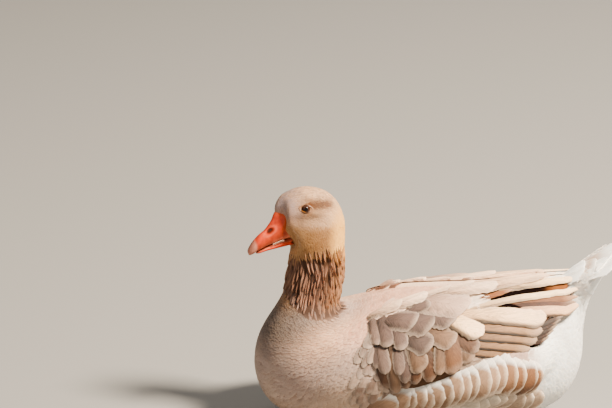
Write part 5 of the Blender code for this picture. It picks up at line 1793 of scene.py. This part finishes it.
eye = {
    "radius": 0.0066,
    "sink": 0.0036,
    "rings": 32,
    "sides": 48,
    "pupil": 0.0028,
    "iris": 0.0056,
    "bulge": 0.0007,
    "pupilTint": (0.004, 0.003, 0.003),
    "irisTint": (0.03, 0.011, 0.006),
    "rimTint": (0.02, 0.01, 0.007),
    "openingLong": 0.0065,
    "openingHigh": 0.0038,
    "openingLean": math.radians(-6),
    "lidSteps": 56,
    # size against the opening, rise, share that lies on the head's skin, tint
    "lidRows": (
        (0.94, -0.0022, 0.0, "lidDark"), (1.02, 0.0002, 0.0, "lidDark"), (1.08, 0.0009, 0.0, "lidTint"),
        (1.16, 0.001, 0.15, "lidTint"), (1.24, 0.0005, 0.6, "lidTint"), (1.31, 0.0, 0.9, "lidSkin"),
        (1.58, -0.0002, 1.0, "lidSkin"), (1.75, -0.0026, 1.0, "lidSkin"), (1.2, -0.0034, 0.5, "lidSkin"),
    ),
    "lidTint": (0.46, 0.15, 0.012),         # in front of the eye
    "lidDark": (0.035, 0.015, 0.009),       # above and behind it
    "lidSkin": (0.15, 0.075, 0.04),
}
unturnedBody = turned(body["grid"], -1.0)
unturnedNormal = gridNormals(unturnedBody)[2]


def headSurface(x, z, side):        # the head's surface and outer side here, before the head's turn
    half = bodyGrid["roundSteps"] // 2
    part = (slice(0, 150), slice(1, half) if side < 0 else slice(half + 1, None))
    grid = unturnedBody[part].reshape(-1, 3)
    normals = unturnedNormal[part].reshape(-1, 3)
    x, z = np.atleast_1d(x), np.atleast_1d(z)
    gap = (grid[None, :, 0] - x[:, None]) ** 2 + (grid[None, :, 2] - z[:, None]) ** 2
    near = np.argsort(gap, axis=1)[:, :6]
    weight = 1.0 / (np.take_along_axis(gap, near, axis=1) + 1e-9)
    weight /= weight.sum(axis=1, keepdims=True)
    place = (grid[near] * weight[..., None]).sum(axis=1)
    place[:, 0] = x
    place[:, 2] = z
    return place, unit((normals[near] * weight[..., None]).sum(axis=1))


def eyeFrame(side):
    place, normal = headSurface(*markings["eye"], side)
    outward = unit(normal[0] * np.array([0.5, 1.0, 0.5]))
    right = unit(np.cross(np.array([0.0, 0.0, 1.0]), outward))
    return place[0] - outward * eye["sink"], outward, right, np.cross(outward, right)


def makeEyeball(side, word):
    centre, outward, right, up = eyeFrame(side)
    polar = np.linspace(0.0, np.pi, eye["rings"])[1:-1, None]
    angle = turns(eye["sides"])
    reach = eye["radius"] * np.sin(polar) + 0.0 * angle
    forward = eye["radius"] * np.cos(polar) + 0.0 * angle
    bulge = eye["bulge"] * np.clip(1.0 - (reach / eye["iris"]) ** 2, 0.0, 1.0) * (forward > 0)
    rings = centre + (forward + bulge)[..., None] * outward
    rings = rings + (reach * np.cos(angle))[..., None] * right + (reach * np.sin(angle))[..., None] * up
    colour = np.ones(rings.shape) * np.array(eye["irisTint"])
    colour = blended(colour, eye["rimTint"], smoothstep(reach, 0.0046, 0.0058))
    colour = blended(colour, eye["pupilTint"], smoothstep(eye["pupil"] + 0.0004 - reach, 0.0, 0.0006))
    mesh = closedLoft("eyeball_" + word, turned(rings), colour, False)
    addPiece(mesh, eyeFinish, "brown_eye", "eye_" + word)


def makeLids(side, word):           # an almond ring from the eyeball out to the feathers
    centre, outward, right, up = eyeFrame(side)
    turn = turns(eye["lidSteps"])
    a = np.cos(turn)
    b = np.sin(turn) * np.abs(np.sin(turn)) ** 0.25
    c, s = math.cos(eye["openingLean"]), math.sin(eye["openingLean"])
    lean = 1.0 if side < 0 else -1.0
    p = a * eye["openingLong"] * c - lean * b * eye["openingHigh"] * s
    q = lean * a * eye["openingLong"] * s + b * eye["openingHigh"] * c
    rows = []
    tints = []
    for scale, rise, onSkin, tint in eye["lidRows"]:
        flat = centre + (p * scale)[:, None] * right + (q * scale)[:, None] * up
        depth = np.sqrt(np.maximum(0.0, eye["radius"] ** 2 - (p * scale) ** 2 - (q * scale) ** 2))
        level = flat + eye["sink"] * outward
        skin, _ = headSurface(level[:, 0], level[:, 2], side)
        rows.append((flat + depth[:, None] * outward) * (1.0 - onSkin) + skin * onSkin + outward * rise)
        dark = smoothstep(lean * a + 0.5 * b, -0.8, -0.3) * (tint == "lidTint")
        tints.append(blended(np.array(eye[tint]), eye["lidDark"], dark))
    rings = turned(np.array(rows))
    count, columns = rings.shape[:2]
    faces = []
    corners = []
    for i in range(count):
        n = (i + 1) % count
        for j in range(columns):
            k = (j + 1) % columns
            faces.append((i * columns + j, i * columns + k, n * columns + k, n * columns + j))
            for column, row in ((j, i), (j + 1, i), (j + 1, i + 1), (j, i + 1)):
                corners.append((0.01 + 0.98 * column / columns, 0.01 + 0.98 * row / count))
    mesh = arrayMesh("lids_" + word, rings.reshape(-1, 3), faces, np.concatenate(tints), np.array(corners))
    addPiece(outwardFaces(mesh), lidFinish, "orange_skin", "head")


def eyeMaterial():
    made, tree, shader = newMaterial("wetEye", {
        "Roughness": 0.06, "Specular IOR Level": 0.1, "Coat Weight": 0.03, "Coat Roughness": 0.02,
    })
    tree.links.new(ownTint(tree), shader.inputs["Base Color"])
    return made


eyeFinish = eyeMaterial()
lidFinish = hornMaterial("eyeRim", roughness=0.5, coatWeight=0.1)
for side, word in sides:
    makeEyeball(side, word)
    makeLids(side, word)
print("eyes made")


leg = {
    "hock": (0.078, 0.083, 0.0125),
    "ankle": (-0.012, 0.086, 0.009),
    "knee": (0.04, 0.08, 0.05),
    "toes": ((-0.076, 0.071), (-0.1, 0.091), (-0.082, 0.112)),
    "toeZ": 0.0035,
    "tint": (0.52, 0.085, 0.012),
    "webTint": (0.55, 0.11, 0.02),
    "clawTint": (0.1, 0.07, 0.055),
    "webHalf": 0.0011,
    "webSag": 0.16,             # how far the web's edge runs back between two toes
    "sides": 20,
    "claw": {"length": 0.0075, "radius": 0.0022, "steps": 10, "sides": 12, "drop": 0.0012},
}


def limbRings(start, end, startRadius, endRadius, steps=14, swell=0.0, knobs=0.0):
    start, end = np.array(start), np.array(end)
    length = np.linalg.norm(end - start)
    axis = unit(end - start)
    right = unit(np.cross(axis, np.array([0.0, 0.0, 1.0])))
    share = np.linspace(0.0, 1.0, steps)
    radius = startRadius + (endRadius - startRadius) * share + swell * np.sin(np.pi * share)
    radius = radius * (1.0 + knobs * np.sin(share * np.pi * 6.0) ** 2)
    cap = np.linspace(0.15, np.pi / 2.0, 4)[:-1]
    offsets = [-np.cos(cap) * startRadius, share * length, length + np.cos(cap[::-1]) * endRadius]
    radii = np.concatenate([np.sin(cap) * startRadius, radius, np.sin(cap[::-1]) * endRadius])
    angle = turns(leg["sides"])[:, None]
    ring = np.cos(angle) * right + np.sin(angle) * np.cross(right, axis)
    return start + np.concatenate(offsets)[:, None, None] * axis + radii[:, None, None] * ring[None]


def makeLimbs(side, word):
    ankle = np.array(leg["ankle"])
    parts = [
        limbRings(leg["knee"], leg["hock"], 0.015, 0.011, swell=0.001),
        limbRings(leg["hock"], leg["ankle"], 0.01, 0.0085, swell=-0.0012),
    ]
    for toe in leg["toes"]:
        parts.append(limbRings(ankle * [1, 1, 0.7], (*toe, leg["toeZ"]), 0.006, 0.0034, steps=20, knobs=0.1))
    points = []
    faces = []
    corners = []
    total = 0
    for index, rings in enumerate(parts):
        rings = rings * np.array([1.0, side, 1.0])
        rings[..., 2] = np.maximum(0.0006, rings[..., 2])
        mesh = closedLoft("limb", rings, np.ones(rings.shape), side > 0)
        points.append(np.array([v.co for v in mesh.vertices]))
        faces += [tuple(total + i for i in p.vertices) for p in mesh.polygons]
        layer = mesh.uv_layers["OFBake"].data
        corners.append(np.array([layer[i].uv for i in range(len(layer))]) * [0.18, 0.9] + [0.19 * index, 0.05])
        total += len(mesh.vertices)
        bpy.data.meshes.remove(mesh)
    mesh = arrayMesh("legs_" + word, np.concatenate(points), faces, leg["tint"], np.concatenate(corners))
    addPiece(outwardFaces(mesh), legFinish, "orange_skin", "leg_" + word)


def makeWeb(side, word):
    toes = [np.array(toe) for toe in leg["toes"]]
    back = np.array(leg["ankle"])[:2] + [0.002, 0.0]
    edge = []
    for a, b in zip(toes, toes[1:]):
        for s in np.linspace(0.0, 1.0, 12):
            spot = a + (b - a) * s
            edge.append(spot + (back - spot) * leg["webSag"] * math.sin(math.pi * s))
    edge = np.array(edge)
    share = np.linspace(0.04, 1.0, 14)[:, None]
    flat = back + (edge[None] - back) * share[..., None]
    wave = 0.0006 * np.sin(np.arange(len(edge)) / (len(edge) - 1.0) * np.pi * 4.0)[None, :] * share
    level = leg["toeZ"] + 0.0004 + wave
    half = leg["webHalf"] * (1.05 - 0.7 * share)
    top, low = [np.stack([flat[..., 0], flat[..., 1] * side, level + h], axis=-1) for h in (half, -half)]
    points, faces = closedSheet(top, low)
    rows, columns = level.shape
    u = np.linspace(0.02, 0.48, columns)[None, :] + np.zeros((rows, 1))
    v = np.linspace(0.02, 0.98, rows)[:, None] + np.zeros((1, columns))
    maps = np.concatenate([np.stack([u + shift, v], axis=-1).reshape(-1, 2) for shift in (0.0, 0.5)])
    mesh = arrayMesh("web_" + word, points, faces, leg["webTint"], maps)
    addPiece(outwardFaces(mesh), legFinish, "orange_skin", "leg_" + word)


def makeClaws(side, word):
    claw = leg["claw"]
    ankle = np.array(leg["ankle"])
    up = np.array([0.0, 0.0, 1.0])
    share = np.linspace(0.0, 1.0, claw["steps"])
    radius = claw["radius"] * np.sqrt(np.maximum(0.0, 1.0 - share ** 1.6)) + 0.00015
    angle = turns(claw["sides"])[:, None]
    for index, toe in enumerate(leg["toes"]):
        tip = np.array([*toe, leg["toeZ"]])
        ahead = unit(tip - ankle * [1, 1, 0.4])
        axis = tip + ahead * (share[:, None] * claw["length"] - 0.0005)
        axis[:, 2] += 0.0006 * np.sin(np.pi * share) - claw["drop"] * share
        ring = 0.8 * (np.cos(angle) * unit(np.cross(ahead, up)) + np.sin(angle) * up)
        rings = (axis[:, None, :] + radius[:, None, None] * ring[None]) * np.array([1.0, side, 1.0])
        rings[..., 2] = np.maximum(0.0004, rings[..., 2])
        tint = np.ones(rings.shape) * np.array(leg["clawTint"])
        mesh = closedLoft("claw_" + word + str(index), rings, tint, side > 0)
        addPiece(outwardFaces(mesh), clawFinish, "orange_skin", "leg_" + word)


legFinish = hornMaterial("scaledSkin", roughness=0.5, coatWeight=0.1)
clawFinish = hornMaterial("clawHorn", roughness=0.4, coatWeight=0.3)
for side, word in sides:
    makeLimbs(side, word)
    makeWeb(side, word)
    makeClaws(side, word)
print("legs made")

for kinds in templates.values():
    for made in kinds:
        bpy.data.objects.remove(made)
